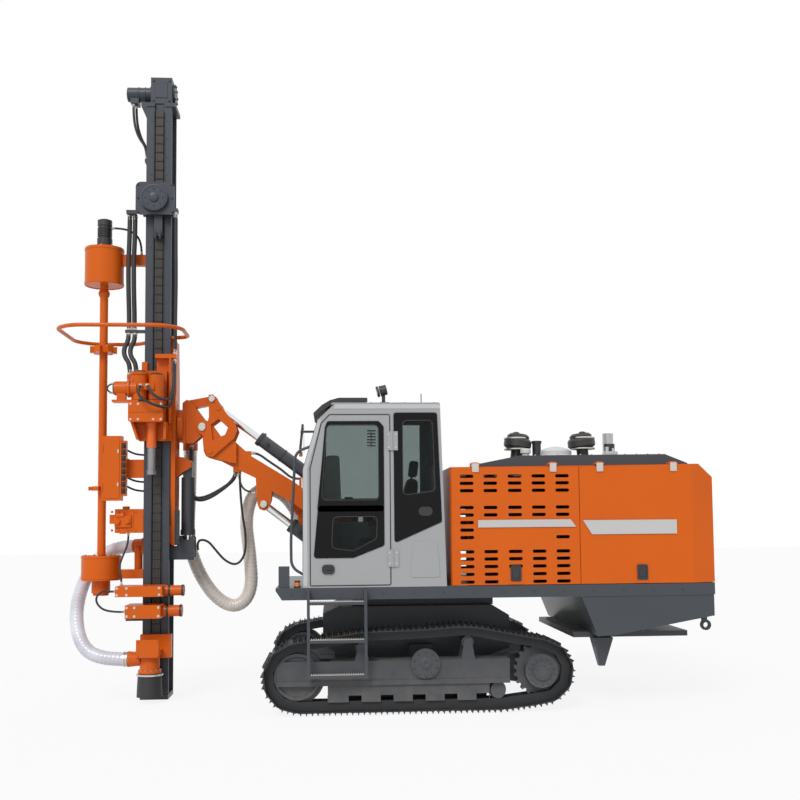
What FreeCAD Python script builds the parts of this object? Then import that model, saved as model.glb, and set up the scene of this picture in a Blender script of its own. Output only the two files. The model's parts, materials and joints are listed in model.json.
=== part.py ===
import FreeCAD, Part
import math
import os

# Crawler drilling rig, millimetres, +Z up, mast and front towards -X, cab on the -Y side.
# Ground is Z 0 and the machine's centre line is Y 0.

os.makedirs("parts", exist_ok=True)
V = FreeCAD.Vector
AX_X = V(1, 0, 0)
AX_Y = V(0, 1, 0)
AX_Z = V(0, 0, 1)
SIDES = {"left": -1, "right": 1}
# Running gap between a pin or rod and its hole
GAP = 0.3


# Basic forms

def box(x0, x1, y0, y1, z0, z1):
    return Part.makeBox(x1 - x0, y1 - y0, z1 - z0, V(x0, y0, z0))


def wall(y0, y1, side):
    """The pair of Y limits on one side of the machine, low one first."""
    return (y0 * side, y1 * side) if y0 * side < y1 * side else (y1 * side, y0 * side)


def bar(p, q, radius):
    """A round bar from p to q."""
    run = q.sub(p)
    return Part.makeCylinder(radius, run.Length, p, run)


def plate_xz(points, y0, y1):
    """A flat outline in X and Z, given thickness along Y."""
    wire = Part.makePolygon([V(x, y0, z) for x, z in points] + [V(points[0][0], y0, points[0][1])])
    return Part.Face(wire).extrude(V(0, y1 - y0, 0))


def plate_yz(points, x0, x1):
    wire = Part.makePolygon([V(x0, y, z) for y, z in points] + [V(x0, points[0][0], points[0][1])])
    return Part.Face(wire).extrude(V(x1 - x0, 0, 0))


def plate_xy(points, z0, z1):
    wire = Part.makePolygon([V(x, y, z0) for x, y in points] + [V(points[0][0], points[0][1], z0)])
    return Part.Face(wire).extrude(V(0, 0, z1 - z0))


def rounded_xz(points, radius, y0, y1):
    """A flat outline whose corners are rounded, given thickness along Y."""
    edges = []
    marks = []
    count = len(points)
    for i in range(count):
        p = V(points[i][0], y0, points[i][1])
        a = V(points[i - 1][0], y0, points[i - 1][1])
        b = V(points[(i + 1) % count][0], y0, points[(i + 1) % count][1])
        to_a = a.sub(p).normalize()
        to_b = b.sub(p).normalize()
        half = to_a.getAngle(to_b) / 2.0
        back = min(radius / math.tan(half), 0.45 * min(a.sub(p).Length, b.sub(p).Length))
        mid = to_a.add(to_b).normalize()
        reach = back / math.cos(half) - back * math.tan(half)
        marks.append((p.add(to_a.multiply(back)), p.add(mid.multiply(reach)), p.add(to_b.multiply(back))))
    for i in range(count):
        edges.append(Part.Arc(marks[i][0], marks[i][1], marks[i][2]).toShape())
        start = marks[i][2]
        end = marks[(i + 1) % count][0]
        if end.sub(start).Length > 0.01:
            edges.append(Part.LineSegment(start, end).toShape())
    return Part.Face(Part.Wire(edges)).extrude(V(0, y1 - y0, 0))


def join(shapes):
    whole = shapes[0].multiFuse(shapes[1:]) if len(shapes) > 1 else shapes[0]
    return whole.removeSplitter()


def cut(shape, tools):
    return shape.cut(tools)


def save(name, shape):
    shape.exportStep("parts/" + name + ".step")
    solids = shape.Solids
    print(name, "solids", len(solids), "valid", shape.isValid(), "faces", len(shape.Faces))


def hose(points, radius):
    """A round hose of straight runs joined by large tangent arcs, and the arcs' radii."""
    runs = [points[i + 1].sub(points[i]) for i in range(len(points) - 1)]
    cuts = []
    radii = []
    for i in range(1, len(points) - 1):
        turn = runs[i - 1].getAngle(runs[i])
        shorter = min(runs[i - 1].Length, runs[i].Length)
        back = 0.45 * shorter
        cuts.append(back)
        radii.append(back / math.tan(turn / 2.0))
    edges = []
    start = points[0]
    for i in range(1, len(points) - 1):
        into = V(runs[i - 1]).normalize()
        out = V(runs[i]).normalize()
        a = points[i].sub(V(into).multiply(cuts[i - 1]))
        b = points[i].add(V(out).multiply(cuts[i - 1]))
        half = into.getAngle(out) / 2.0
        mid_dir = V(out).sub(into).normalize()
        reach = radii[i - 1] / math.cos(half) - radii[i - 1]
        mid = points[i].add(mid_dir.multiply(reach))
        edges.append(Part.LineSegment(start, a).toShape())
        edges.append(Part.Arc(a, mid, b).toShape())
        start = b
    edges.append(Part.LineSegment(start, points[-1]).toShape())
    spine = Part.Wire(edges)
    ring = Part.Wire([Part.makeCircle(radius, points[0], runs[0])])
    solid = spine.makePipeShell([ring], True, False)
    return solid, radii


# Crawler tracks
SHOE_WIDTH = 400
TRACK_MID_Y = 1050
SHOES = 39
PLATE_UNDER = 46
PLATE_TOP = 58
NOTCH_TOP = 50
RIB_TOP = 86
TREAD_IN = -42
IDLER_X = -890
IDLER_Z = 370
IDLER_PITCH_R = 284
SPROCKET_X = 1545
SPROCKET_Z = 395
SPROCKET_PITCH_R = 259
CARRIER_POINTS = ((-250, 757), (300, 768), (810, 802))
LAST_ROLLER_POINT = (1150, 86)
RIB_PLACES = (-57, 0, 57)
RIB_HALF_FOOT = 9
STRAND_NEAR = 52
STRAND_FAR = 94


def tangent_angle(centre, radius, point, turn):
    """Angle on a wheel where a straight run from the point meets it."""
    dx = point[0] - centre[0]
    dz = point[1] - centre[1]
    return math.atan2(dz, dx) + turn * math.acos(radius / math.hypot(dx, dz))


def arc_points(centre, radius, start, end, steps):
    found = []
    for i in range(steps + 1):
        a = start + (end - start) * i / steps
        found.append((centre[0] + radius * math.cos(a), centre[1] + radius * math.sin(a)))
    return found


def pitch_path():
    """The closed line through the chain's pins, bottom run first, then nose, top and rear."""
    idler = (IDLER_X, IDLER_Z)
    sprocket = (SPROCKET_X, SPROCKET_Z)
    up = tangent_angle(idler, IDLER_PITCH_R, CARRIER_POINTS[0], 1)
    over = tangent_angle(sprocket, SPROCKET_PITCH_R, CARRIER_POINTS[-1], -1)
    low = tangent_angle(sprocket, SPROCKET_PITCH_R, LAST_ROLLER_POINT, 1)
    path = [LAST_ROLLER_POINT]
    path += arc_points(idler, IDLER_PITCH_R, -math.pi / 2, -2 * math.pi + up, 40)
    path += list(CARRIER_POINTS)
    path += arc_points(sprocket, SPROCKET_PITCH_R, over, low, 40)
    path.append(LAST_ROLLER_POINT)
    return path


def spread(path, count):
    """Points at equal steps along a line."""
    lengths = [0.0]
    for i in range(len(path) - 1):
        lengths.append(lengths[-1] + math.dist(path[i], path[i + 1]))
    found = []
    k = 0
    for n in range(count):
        want = lengths[-1] * n / count
        while lengths[k + 1] < want:
            k += 1
        part = (want - lengths[k]) / (lengths[k + 1] - lengths[k])
        x = path[k][0] + part * (path[k + 1][0] - path[k][0])
        z = path[k][1] + part * (path[k + 1][1] - path[k][1])
        found.append((x, z))
    return found


PINS = spread(pitch_path(), SHOES)


def chain_lines():
    """For each shoe: its pin, direction, outward normal, length and the joint's outward normal."""
    lines = []
    for i in range(SHOES):
        a = PINS[i]
        b = PINS[(i + 1) % SHOES]
        length = math.dist(a, b)
        d = ((b[0] - a[0]) / length, (b[1] - a[1]) / length)
        lines.append([a, d, (-d[1], d[0]), length])
    for i in range(SHOES):
        n0 = lines[i - 1][2]
        n1 = lines[i][2]
        size = math.hypot(n0[0] + n1[0], n0[1] + n1[1])
        lines[i].append(((n0[0] + n1[0]) / size, (n0[1] + n1[1]) / size))
    return lines


def off(line, along, out):
    a, d, n = line[0], line[1], line[2]
    return (a[0] + d[0] * along + n[0] * out, a[1] + d[1] * along + n[1] * out)


def at_joint(line, out):
    return (line[0][0] + line[4][0] * out, line[0][1] + line[4][1] * out)


def loop_band(outer, inner, y0, y1):
    """A closed loop between two outlines."""
    return plate_xz(outer, y0, y1).cut(plate_xz(inner, y0 - 1, y1 + 1))


def make_track(side):
    lines = chain_lines()
    outer = []
    for line in lines:
        length = line[3]
        outer.append(at_joint(line, NOTCH_TOP))
        outer.append(off(line, 6, PLATE_TOP))
        for place in RIB_PLACES:
            mid = length / 2 + place
            outer.append(off(line, mid - RIB_HALF_FOOT, PLATE_TOP))
            outer.append(off(line, mid, RIB_TOP))
            outer.append(off(line, mid + RIB_HALF_FOOT, PLATE_TOP))
        outer.append(off(line, length - 6, PLATE_TOP))
    under = [at_joint(line, PLATE_UNDER) for line in lines]
    tread = [at_joint(line, TREAD_IN) for line in lines]
    middle = side * TRACK_MID_Y
    shoes = loop_band(outer, under, middle - SHOE_WIDTH / 2, middle + SHOE_WIDTH / 2)
    strands = []
    for turn in (-1, 1):
        y0, y1 = wall(STRAND_NEAR, STRAND_FAR, turn)
        strands.append(loop_band(under, tread, middle + y0, middle + y1))
    return join([shoes] + strands)


for side_name, side in SIDES.items():
    save("track_" + side_name, make_track(side))

# Wheels of the tracks
ROLLER_X = (-480, -162, 156, 474, 792, 1110)
ROLLER_R = 78
ROLLER_Z = 206.3
ROLLER_HALF = 98
CARRIER_R = 60
CARRIER_DROP = 14
IDLER_R = 228
IDLER_HALF = 98
IDLER_GUIDE_R = 274
FLANGE_EXTRA = 10
SPROCKET_TEETH = 21
DRIVE_COVER_R = 165


def wheel(x, z, radius, y0, y1):
    return Part.makeCylinder(radius, y1 - y0, V(x, y0, z), AX_Y)


for side_name, side in SIDES.items():
    middle = side * TRACK_MID_Y
    idler = join([
        wheel(IDLER_X, IDLER_Z, IDLER_R, middle - IDLER_HALF, middle + IDLER_HALF),
        wheel(IDLER_X, IDLER_Z, IDLER_GUIDE_R, middle - 44, middle + 44),
        wheel(IDLER_X, IDLER_Z, 60, middle - 104.8, middle + 104.8),
    ])
    rims = [wheel(IDLER_X, IDLER_Z, 200, middle + s * IDLER_HALF - 20, middle + s * IDLER_HALF + 20)
            for s in (-1, 1)]
    hubs = [wheel(IDLER_X, IDLER_Z, 95, middle + s * IDLER_HALF - 20, middle + s * IDLER_HALF + 20)
            for s in (-1, 1)]
    rollers = [join([cut(idler, [rims[i].cut(hubs[i]) for i in (0, 1)])])]
    for x in ROLLER_X:
        rollers.append(join([
            wheel(x, ROLLER_Z, ROLLER_R, middle - ROLLER_HALF, middle + ROLLER_HALF),
            wheel(x, ROLLER_Z, ROLLER_R + FLANGE_EXTRA, middle - 44, middle + 44),
            wheel(x, ROLLER_Z, 24, middle - 106 + GAP, middle + 106 - GAP),
        ]))
    for x, z in (CARRIER_POINTS[0], CARRIER_POINTS[-1]):
        z_mid = z + TREAD_IN - CARRIER_R - CARRIER_DROP
        rollers.append(join([wheel(x, z_mid, CARRIER_R, middle - 94, middle + 94),
                             wheel(x, z_mid, 24, middle - 99.8, middle + 99.8)]))
    save("rollers_" + side_name, Part.makeCompound(rollers))
    teeth = []
    for n in range(SPROCKET_TEETH):
        for half, radius in ((0.0, SPROCKET_PITCH_R + 6), (0.3, SPROCKET_PITCH_R + 6),
                             (0.42, SPROCKET_PITCH_R - 22), (0.88, SPROCKET_PITCH_R - 22)):
            a = 2 * math.pi * (n + half) / SPROCKET_TEETH
            teeth.append((SPROCKET_X + radius * math.cos(a), SPROCKET_Z + radius * math.sin(a)))
    out0, out1 = wall(30, 150, side)
    in0, in1 = wall(-150, -30, side)
    sprocket = join([
        plate_xz(teeth, middle - 30, middle + 30),
        wheel(SPROCKET_X, SPROCKET_Z, DRIVE_COVER_R, middle + out0, middle + out1),
        wheel(SPROCKET_X, SPROCKET_Z, 90, middle + wall(150, 172, side)[0],
              middle + wall(150, 172, side)[1]),
        wheel(SPROCKET_X, SPROCKET_Z, 150, middle + in0, middle + in1),
    ])
    save("sprocket_" + side_name, sprocket)

# Track frames
FRAME_TOP = 520
FRAME_LOW = 300
FRAME_FRONT = -560
FRAME_REAR = 1225
FRAME_HALF = 100
PIVOT_X = 380
PIVOT_Z = 430
GUARD_FRONT = -590
GUARD_REAR = 1020

for side_name, side in SIDES.items():
    middle = side * TRACK_MID_Y
    pieces = [
        box(FRAME_FRONT, FRAME_REAR, middle - FRAME_HALF, middle + FRAME_HALF, FRAME_LOW, FRAME_TOP),
        box(-1090, FRAME_REAR, middle - 145, middle - 105, 285, 330),
        box(-1090, FRAME_REAR, middle + 105, middle + 145, 285, 330),
    ]
    for s in (-1, 1):
        y0, y1 = wall(105, 128, s)
        fork = [(-1090, 300), (-1090, 460), (-1040, FRAME_TOP), (FRAME_REAR, FRAME_TOP), (FRAME_REAR, 300)]
        pieces.append(plate_xz(fork, middle + y0, middle + y1))
        y0, y1 = wall(100, 106, s)
        pieces.append(box(FRAME_FRONT, FRAME_REAR, middle + y0, middle + y1, FRAME_LOW, FRAME_TOP))
        y0, y1 = wall(106, 122, s)
        guard = box(GUARD_FRONT, GUARD_REAR, middle + y0, middle + y1, 120, 290)
        windows = []
        for x in ROLLER_X[:-1]:
            windows.append(box(x + 95, x + 223, middle + y0 - 5, middle + y1 + 5, 105, 185))
        pieces.append(guard.cut(windows))
    for x, z in (CARRIER_POINTS[0], CARRIER_POINTS[-1]):
        base = [(x - 70, FRAME_TOP), (x - 34, z + TREAD_IN - CARRIER_R + 24),
                (x + 34, z + TREAD_IN - CARRIER_R + 24), (x + 70, FRAME_TOP)]
        y0, y1 = wall(100, 124, side)
        pieces.append(plate_xz(base, middle + y0, middle + y1))
        y0, y1 = wall(-124, -100, side)
        pieces.append(plate_xz(base, middle + y0, middle + y1))
    y0, y1 = wall(-190, -150.2, side)
    motor_plate = [(FRAME_REAR - 200, 300), (FRAME_REAR - 200, FRAME_TOP), (SPROCKET_X - 80, 560),
                   (SPROCKET_X + 120, 520), (SPROCKET_X + 150, 330), (SPROCKET_X - 60, 230)]
    pieces.append(plate_xz(motor_plate, middle + y0, middle + y1))
    y0, y1 = wall(-160, -100, side)
    pieces.append(box(FRAME_REAR - 190, FRAME_REAR - 20, middle + y0, middle + y1, 310, FRAME_TOP - 10))
    y0, y1 = wall(128, 165, side)
    pieces.append(wheel(PIVOT_X, PIVOT_Z + 60, 145, middle + y0, middle + y1))
    frame = join(pieces)
    save("track_frame_" + side_name, frame)

# Centre frame between the tracks
CENTRE_HALF = 560
FRAME_FACE_Y = TRACK_MID_Y - 128 - GAP
centre = [
    plate_xz([(-640, 620), (-640, 940), (-480, 1010), (1150, 1010), (1330, 900), (1330, 560),
              (1100, 480), (-420, 480)], -CENTRE_HALF, CENTRE_HALF),
    box(-320, 1180, -420, 420, 1005, 1130),
    bar(V(PIVOT_X, -FRAME_FACE_Y, PIVOT_Z), V(PIVOT_X, FRAME_FACE_Y, PIVOT_Z), 78),
    box(PIVOT_X - 120, PIVOT_X + 120, -700, 700, 380, 620),
    box(-500, -330, -FRAME_FACE_Y, FRAME_FACE_Y, 400, 505),
    box(-520, -310, -560, 560, 480, 620),
]
save("centre_frame", join(centre))

# Deck frame
CORNER_X = 3120
CORNER_IN = 80


def corner_wedge(side, face_y, z0, z1):
    """What lies outside the tapered rear corner, for a face at face_y."""
    far = DECK_REAR + 40
    slope = CORNER_IN / (DECK_REAR - CORNER_X)
    outline = [(CORNER_X, side * face_y), (far, side * (face_y - slope * (far - CORNER_X))),
               (far, side * (face_y + 200)), (CORNER_X, side * (face_y + 200))]
    return plate_xy(outline, z0, z1)


DECK_TOP = 1250
DECK_LOW = 1130
DECK_FRONT = -1100
DECK_REAR = 3360
BODY_HALF = 1220
POST_X = -350
BOOM_Y = 200
COLUMN_FRONT = -190
deck = [
    box(DECK_FRONT, DECK_REAR, -BODY_HALF, -BODY_HALF + 90, DECK_LOW, DECK_TOP),
    box(DECK_FRONT, DECK_REAR, BODY_HALF - 90, BODY_HALF, DECK_LOW, DECK_TOP),
    box(DECK_FRONT, DECK_REAR, -BODY_HALF + 5, BODY_HALF - 5, DECK_TOP - 14, DECK_TOP),
    box(DECK_FRONT, DECK_FRONT + 70, -BODY_HALF + 5, BODY_HALF - 5, DECK_LOW, DECK_TOP),
    box(DECK_REAR - 70, DECK_REAR, -BODY_HALF + 5, BODY_HALF - 5, DECK_LOW, DECK_TOP),
    box(-420, -320, -BODY_HALF + 5, BODY_HALF - 5, DECK_LOW, DECK_TOP - 10),
    box(1180, 1290, -BODY_HALF + 5, BODY_HALF - 5, DECK_LOW, DECK_TOP - 10),
    box(-320, 1180, -420, 420, DECK_LOW, DECK_TOP - 10),
]
COLUMN_LOW = DECK_TOP + GAP
column = [
    plate_xz([(COLUMN_FRONT, COLUMN_LOW), (COLUMN_FRONT, 2160), (COLUMN_FRONT + 170, 2160),
              (160, 1800), (520, COLUMN_LOW)], BOOM_Y - 150, BOOM_Y + 150),
    plate_xy([(-460, BOOM_Y - 60), (-400, BOOM_Y - 110), (COLUMN_FRONT + 40, BOOM_Y - 150),
              (COLUMN_FRONT + 40, BOOM_Y + 150), (-400, BOOM_Y + 110), (-460, BOOM_Y + 60)], 2100, 2160),
    plate_xy([(-460, BOOM_Y - 60), (-400, BOOM_Y - 110), (COLUMN_FRONT + 40, BOOM_Y - 150),
              (COLUMN_FRONT + 40, BOOM_Y + 150), (-400, BOOM_Y + 110), (-460, BOOM_Y + 60)],
             COLUMN_LOW, 1320),
    bar(V(POST_X, BOOM_Y, COLUMN_LOW), V(POST_X, BOOM_Y, 2180), 50),
]
corners = [corner_wedge(side, BODY_HALF, DECK_LOW - 5, DECK_TOP + 5) for side in (-1, 1)]
nose = plate_xz([(DECK_FRONT - 1, DECK_LOW - 1), (DECK_FRONT + 62, DECK_LOW - 1),
                 (DECK_FRONT - 1, DECK_TOP - 25)],
                -BODY_HALF - 5, BODY_HALF + 5)
save("deck_frame", Part.makeCompound([join(deck).cut(corners + [nose]), join(column)]))

# Rear skirt with its tray and dust chute
SKIRT = ((1960, 1130), (2120, 730), (2300, 740), (3230, 905), (3350, 915), (3358, 1130))
skirt = []
for side in (-1, 1):
    y0, y1 = wall(1180, 1212, side)
    skirt.append(plate_xz(SKIRT, y0, y1))
skirt.append(plate_xz([(2112, 735), (3345, 915), (3345, 935), (2112, 755)], -1185, 1185))
skirt.append(plate_xz([(1960, 1130), (2112, 745), (2130, 752), (1980, 1130)], -1185, 1185))
skirt.append(box(3330, 3350, -1185, 1185, 912, 1130))
skirt.append(box(1940, 3140, -900, 900, 690, 745))
chute_top = Part.makePolygon([V(2130, -1000, 692), V(2330, -1000, 692), V(2330, -800, 692),
                              V(2130, -800, 692), V(2130, -1000, 692)])
chute_low = Part.makePolygon([V(2195, -935, 400), V(2255, -935, 400), V(2255, -865, 400),
                              V(2195, -865, 400), V(2195, -935, 400)])
skirt.append(Part.makeLoft([chute_top, chute_low], True, True))
eye = wheel(3330, 800, 55, -930, -900).cut(wheel(3330, 800, 27, -940, -890))
skirt.append(box(3290, 3345, -930, -900, 820, 930).cut(wheel(3330, 800, 27, -940, -890)))
skirt.append(eye)
skirt = join(skirt).cut([corner_wedge(side, 1212, 700, 1140) for side in (-1, 1)])
for side in (-1, 1):
    rear_out = 1212 - CORNER_IN * (3345 - CORNER_X) / (DECK_REAR - CORNER_X)
    flap = [(CORNER_X - 4, side * 1180), (CORNER_X - 4, side * 1212), (CORNER_X, side * 1212),
            (3345, side * rear_out), (3345, side * (rear_out - 32)), (CORNER_X, side * 1180)]
    skirt = skirt.fuse(plate_xy(flap, 915, 1130).common(plate_xz(SKIRT, -BODY_HALF, BODY_HALF)))
save("rear_skirt", skirt.removeSplitter())

# Cab
CAB_OUT = -1220
CAB_IN = -250
CAB_WALL = 45
CAB_SIDE = ((-830, 1250), (-830, 2420), (-680, 2920), (-510, 3080), (550, 3080), (600, 1250))
DOOR = ((-752, 1275), (-752, 2430), (-640, 2880), (-560, 2965), (35, 2965), (35, 1275))
DOOR_GAP = 6
DOOR_HINGE_X = 62
DOOR_HINGES = ((1450, 1620), (2610, 2800))
REAR_OPENING = ((85, 1700), (85, 2975), (500, 2975), (535, 1900))
UPPER_LIGHT = ((-645, 2115), (-590, 2865), (-75, 2865), (-75, 2115))
LOWER_LIGHT = ((-545, 1640), (-530, 1950), (-90, 1950), (-100, 1730), (-330, 1610))


def grow(points, by):
    """An outline moved outward by a distance."""
    wire = Part.makePolygon([V(x, 0, z) for x, z in points] + [V(points[0][0], 0, points[0][1])])
    face = Part.Face(wire).makeOffset2D(by, 2)
    return [(v.X, v.Z) for v in face.OuterWire.OrderedVertexes]


cab = plate_xz(CAB_SIDE, CAB_OUT, CAB_IN)
room = plate_xz(grow(CAB_SIDE, -CAB_WALL), CAB_OUT + CAB_WALL, CAB_IN - CAB_WALL)
windows = [
    plate_xz(grow(DOOR, DOOR_GAP), CAB_OUT - 5, CAB_OUT + CAB_WALL + 5),
    plate_xz(REAR_OPENING, CAB_OUT - 5, CAB_OUT + CAB_WALL + 5),
    box(-900, -770, CAB_OUT + 70, CAB_IN - 70, 1420, 2380),
    plate_xz([(-900, 2440), (-700, 2890), (-560, 2830), (-740, 2400)], CAB_OUT + 70, CAB_IN - 70),
    box(-600, 420, CAB_IN - CAB_WALL - 5, CAB_IN + 5, 1900, 2950),
    box(500, 640, CAB_OUT + 120, CAB_IN - 120, 2480, 2950),
]
ROOF_TOP = 3095
roof = rounded_xz([(-560, 3076), (-530, ROOF_TOP), (540, ROOF_TOP), (560, 3076)], 8, CAB_OUT + 25,
                  CAB_IN - 25)
leaves = [box(DOOR_HINGE_X + 11 + GAP, 120, CAB_OUT - 12, CAB_OUT, z0, z1) for z0, z1 in DOOR_HINGES]
save("cab_shell", join([cab.cut([room] + windows), roof] + leaves))

glass = [
    rounded_xz([(78, 1680), (78, 2990), (518, 2990), (558, 1890)], 26, CAB_OUT - 6, CAB_OUT).cut(
        box(60, 122, CAB_OUT - 10, CAB_OUT + 2, 2608, 2802)),
    box(-836, -830, CAB_OUT + 60, CAB_IN - 60, 1410, 2390),
    box(-610, 430, CAB_IN, CAB_IN + 6, 1890, 2960),
]
slope = V(-680 + 830, 0, 2920 - 2420)
normal = V(-slope.z, 0, slope.x).normalize()
low = V(-830, CAB_OUT + 60, 2420).add(V(slope).multiply(0.05))
high = V(-830, CAB_OUT + 60, 2420).add(V(slope).multiply(0.95))
pane = Part.makePolygon([low, high, high.add(V(normal).multiply(6)), low.add(V(normal).multiply(6)), low])
glass.append(Part.Face(pane).extrude(V(0, CAB_IN - CAB_OUT - 120, 0)))
rear_run = V(550 - 600, 0, 3080 - 1250).normalize()
rear_out = V(rear_run.z, 0, -rear_run.x)
r0 = V(600, CAB_OUT + 110, 1250).add(V(rear_run).multiply(1220))
r1 = V(600, CAB_OUT + 110, 1250).add(V(rear_run).multiply(1715))
pane = Part.makePolygon([r0, r1, r1.add(V(rear_out).multiply(6)), r0.add(V(rear_out).multiply(6)), r0])
glass.append(Part.Face(pane).extrude(V(0, CAB_IN - CAB_OUT - 220, 0)))
save("cab_glass", Part.makeCompound(glass))

door = plate_xz(DOOR, CAB_OUT, CAB_OUT + 38)
door = door.cut([plate_xz(UPPER_LIGHT, CAB_OUT - 5, CAB_OUT + 45),
                 plate_xz(LOWER_LIGHT, CAB_OUT - 5, CAB_OUT + 45)])
hinges = []
for z0, z1 in DOOR_HINGES:
    hinges.append(box(15, DOOR_HINGE_X, CAB_OUT - 14, CAB_OUT, z0, z1))
    hinges.append(bar(V(DOOR_HINGE_X, CAB_OUT - 12, z0), V(DOOR_HINGE_X, CAB_OUT - 12, z1), 11))
handle = rounded_xz([(-630, 1395), (-630, 1465), (-530, 1465), (-530, 1395)], 30, CAB_OUT - 14, CAB_OUT)
save("cab_door", join([door, handle] + hinges))
save("door_glass", rounded_xz([(-725, 1540), (-610, 2840), (-585, 2905), (-70, 2905), (-20, 2850),
                               (-20, 1660), (-330, 1540)], 30, CAB_OUT - 6, CAB_OUT))

seat = [
    box(-180, 200, -930, -540, 1295 + GAP, 1620),
    box(285, 300, -800, -785, 2300, 2400),
    box(285, 300, -685, -670, 2300, 2400),
    box(-260, 230, -980, -490, 1620, 1740),
    plate_xz([(150, 1740), (270, 1740), (350, 2330), (250, 2350)], -960, -510),
    plate_xz([(255, 2360), (345, 2350), (360, 2520), (280, 2530)], -860, -610),
    box(-160, 160, -1090, -1000, 1850, 1910),
    box(-160, 160, -470, -380, 1850, 1910),
    box(60, 160, -1090, -980, 1700, 1850),
    box(60, 160, -490, -380, 1700, 1850),
]
save("operator_seat", join(seat))
console = [
    plate_xz([(-660, 1295 + GAP), (-700, 1900), (-560, 1960), (-440, 1860), (-420, 1295 + GAP)], -560,
             -320),
    plate_xz([(-690, 1990), (-640, 2350), (-600, 2345), (-650, 1985)], -560, -330),
    bar(V(-620, -440, 1900), V(-640, -440, 2040), 22),
    bar(V(-105, -1045, 1910 + GAP), V(-105, -1045, 2010), 20),
]
console_parts = join(console[:3])
save("operator_console", Part.makeCompound([console_parts, console[3]]))

# Engine bay, its cover and what stands on it
BAY_FRONT = 650
BAY_REAR = 3360
BAY_MID = 1955
PANEL_LOW = 1256
PANEL_TOP = 2436
PANELS = (("front", BAY_FRONT + 6, BAY_MID - 3), ("rear", BAY_MID + 3, BAY_REAR))
LOUVRE_X = (810, 1050, 1298, 1540, 1782)
LOUVRE_ROWS = ((2345, (0, 1, 2, 3, 4)), (2274, (0, 1, 2, 3, 4)), (2200, (0, 1, 2, 3, 4)),
               (2030, (0, 1, 2, 3, 4)), (1956, (0, 1, 2, 3, 4)), (1880, (0,)), (1805, (0,)), (1730, (0, 4)),
               (1588, (0, 1, 2, 3, 4)), (1515, (0, 1, 2, 3, 4)), (1440, (0, 1, 2, 3, 4)),
               (1363, (0, 1, 3, 4)), (1287, (0, 1, 3, 4)))
LOUVRE_LONG = 140
LOUVRE_HIGH = 34
CLIPS = {"front": (900, 1690), "rear": (2170, 2930)}
LATCH_LOW = 1260
LATCHES = {"front": (1295, 130, 160), "rear": (2585, 120, 155)}
HINGE_Y = 1205
HINGE_Z = 2470


def roof_z(x):
    """Height of the bay's roof, which rises a little towards the rear."""
    return 2440 + 20 * (x - BAY_FRONT) / (BAY_REAR - 150 - BAY_FRONT)


bay = [
    box(BAY_FRONT, BAY_FRONT + 30, -1178, 1178, DECK_TOP, 2430),
    box(BAY_MID - 40, BAY_MID + 40, -1178, -1120, DECK_TOP, 2420),
    box(BAY_MID - 40, BAY_MID + 40, 1120, 1178, DECK_TOP, 2420),
    plate_xz([(BAY_FRONT, roof_z(BAY_FRONT) - 30), (BAY_REAR - 150, roof_z(BAY_REAR - 150) - 30),
              (BAY_REAR - 150, roof_z(BAY_REAR - 150)), (BAY_FRONT, roof_z(BAY_FRONT))], -1178, 1178),
    plate_xz([(BAY_REAR - 160, 2430), (BAY_REAR - 160, 2458), (BAY_REAR - 8, 2328), (BAY_REAR - 40, 2320)],
             -1178, 1178),
    box(BAY_REAR - 60, BAY_REAR - 8, -1178, -1000, DECK_TOP, 2330),
    box(BAY_REAR - 60, BAY_REAR - 8, 1000, 1178, DECK_TOP, 2330),
    box(BAY_REAR - 60, BAY_REAR - 8, -1178, 1178, DECK_TOP, 1400),
    box(BAY_REAR - 60, BAY_REAR - 8, -1178, 1178, 2200, 2330),
    box(BAY_REAR - 60, BAY_REAR - 8, -40, 40, DECK_TOP, 2330),
]
for n in range(14):
    z = 1430 + n * 56
    bay.append(plate_xz([(BAY_REAR - 55, z), (BAY_REAR - 10, z + 20), (BAY_REAR - 10, z + 28),
                         (BAY_REAR - 55, z + 8)], -1010, 1010))
for side in (-1, 1):
    for x in CLIPS["front"] + CLIPS["rear"]:
        bay.append(bar(V(x - 48, side * HINGE_Y, HINGE_Z), V(x + 48, side * HINGE_Y, HINGE_Z), 9))
        for x0, x1 in ((x - 48, x - 33), (x + 33, x + 48)):
            y0, y1 = wall(1150, 1181, side)
            bay.append(box(x0, x1, y0, y1, 2425, HINGE_Z + 8))
            y0, y1 = wall(1175, HINGE_Y + 7, side)
            bay.append(box(x0, x1, y0, y1, HINGE_Z - 8, HINGE_Z + 8))
save("engine_bay", join(bay).cut([corner_wedge(side, 1178, DECK_TOP - 5, 2500) for side in (-1, 1)]))
save("engine_block", join([box(1000, 2350, -380, 380, DECK_TOP + GAP, 2050),
                           box(2600, 3150, -900, 900, DECK_TOP + GAP, 2250)]))

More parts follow.
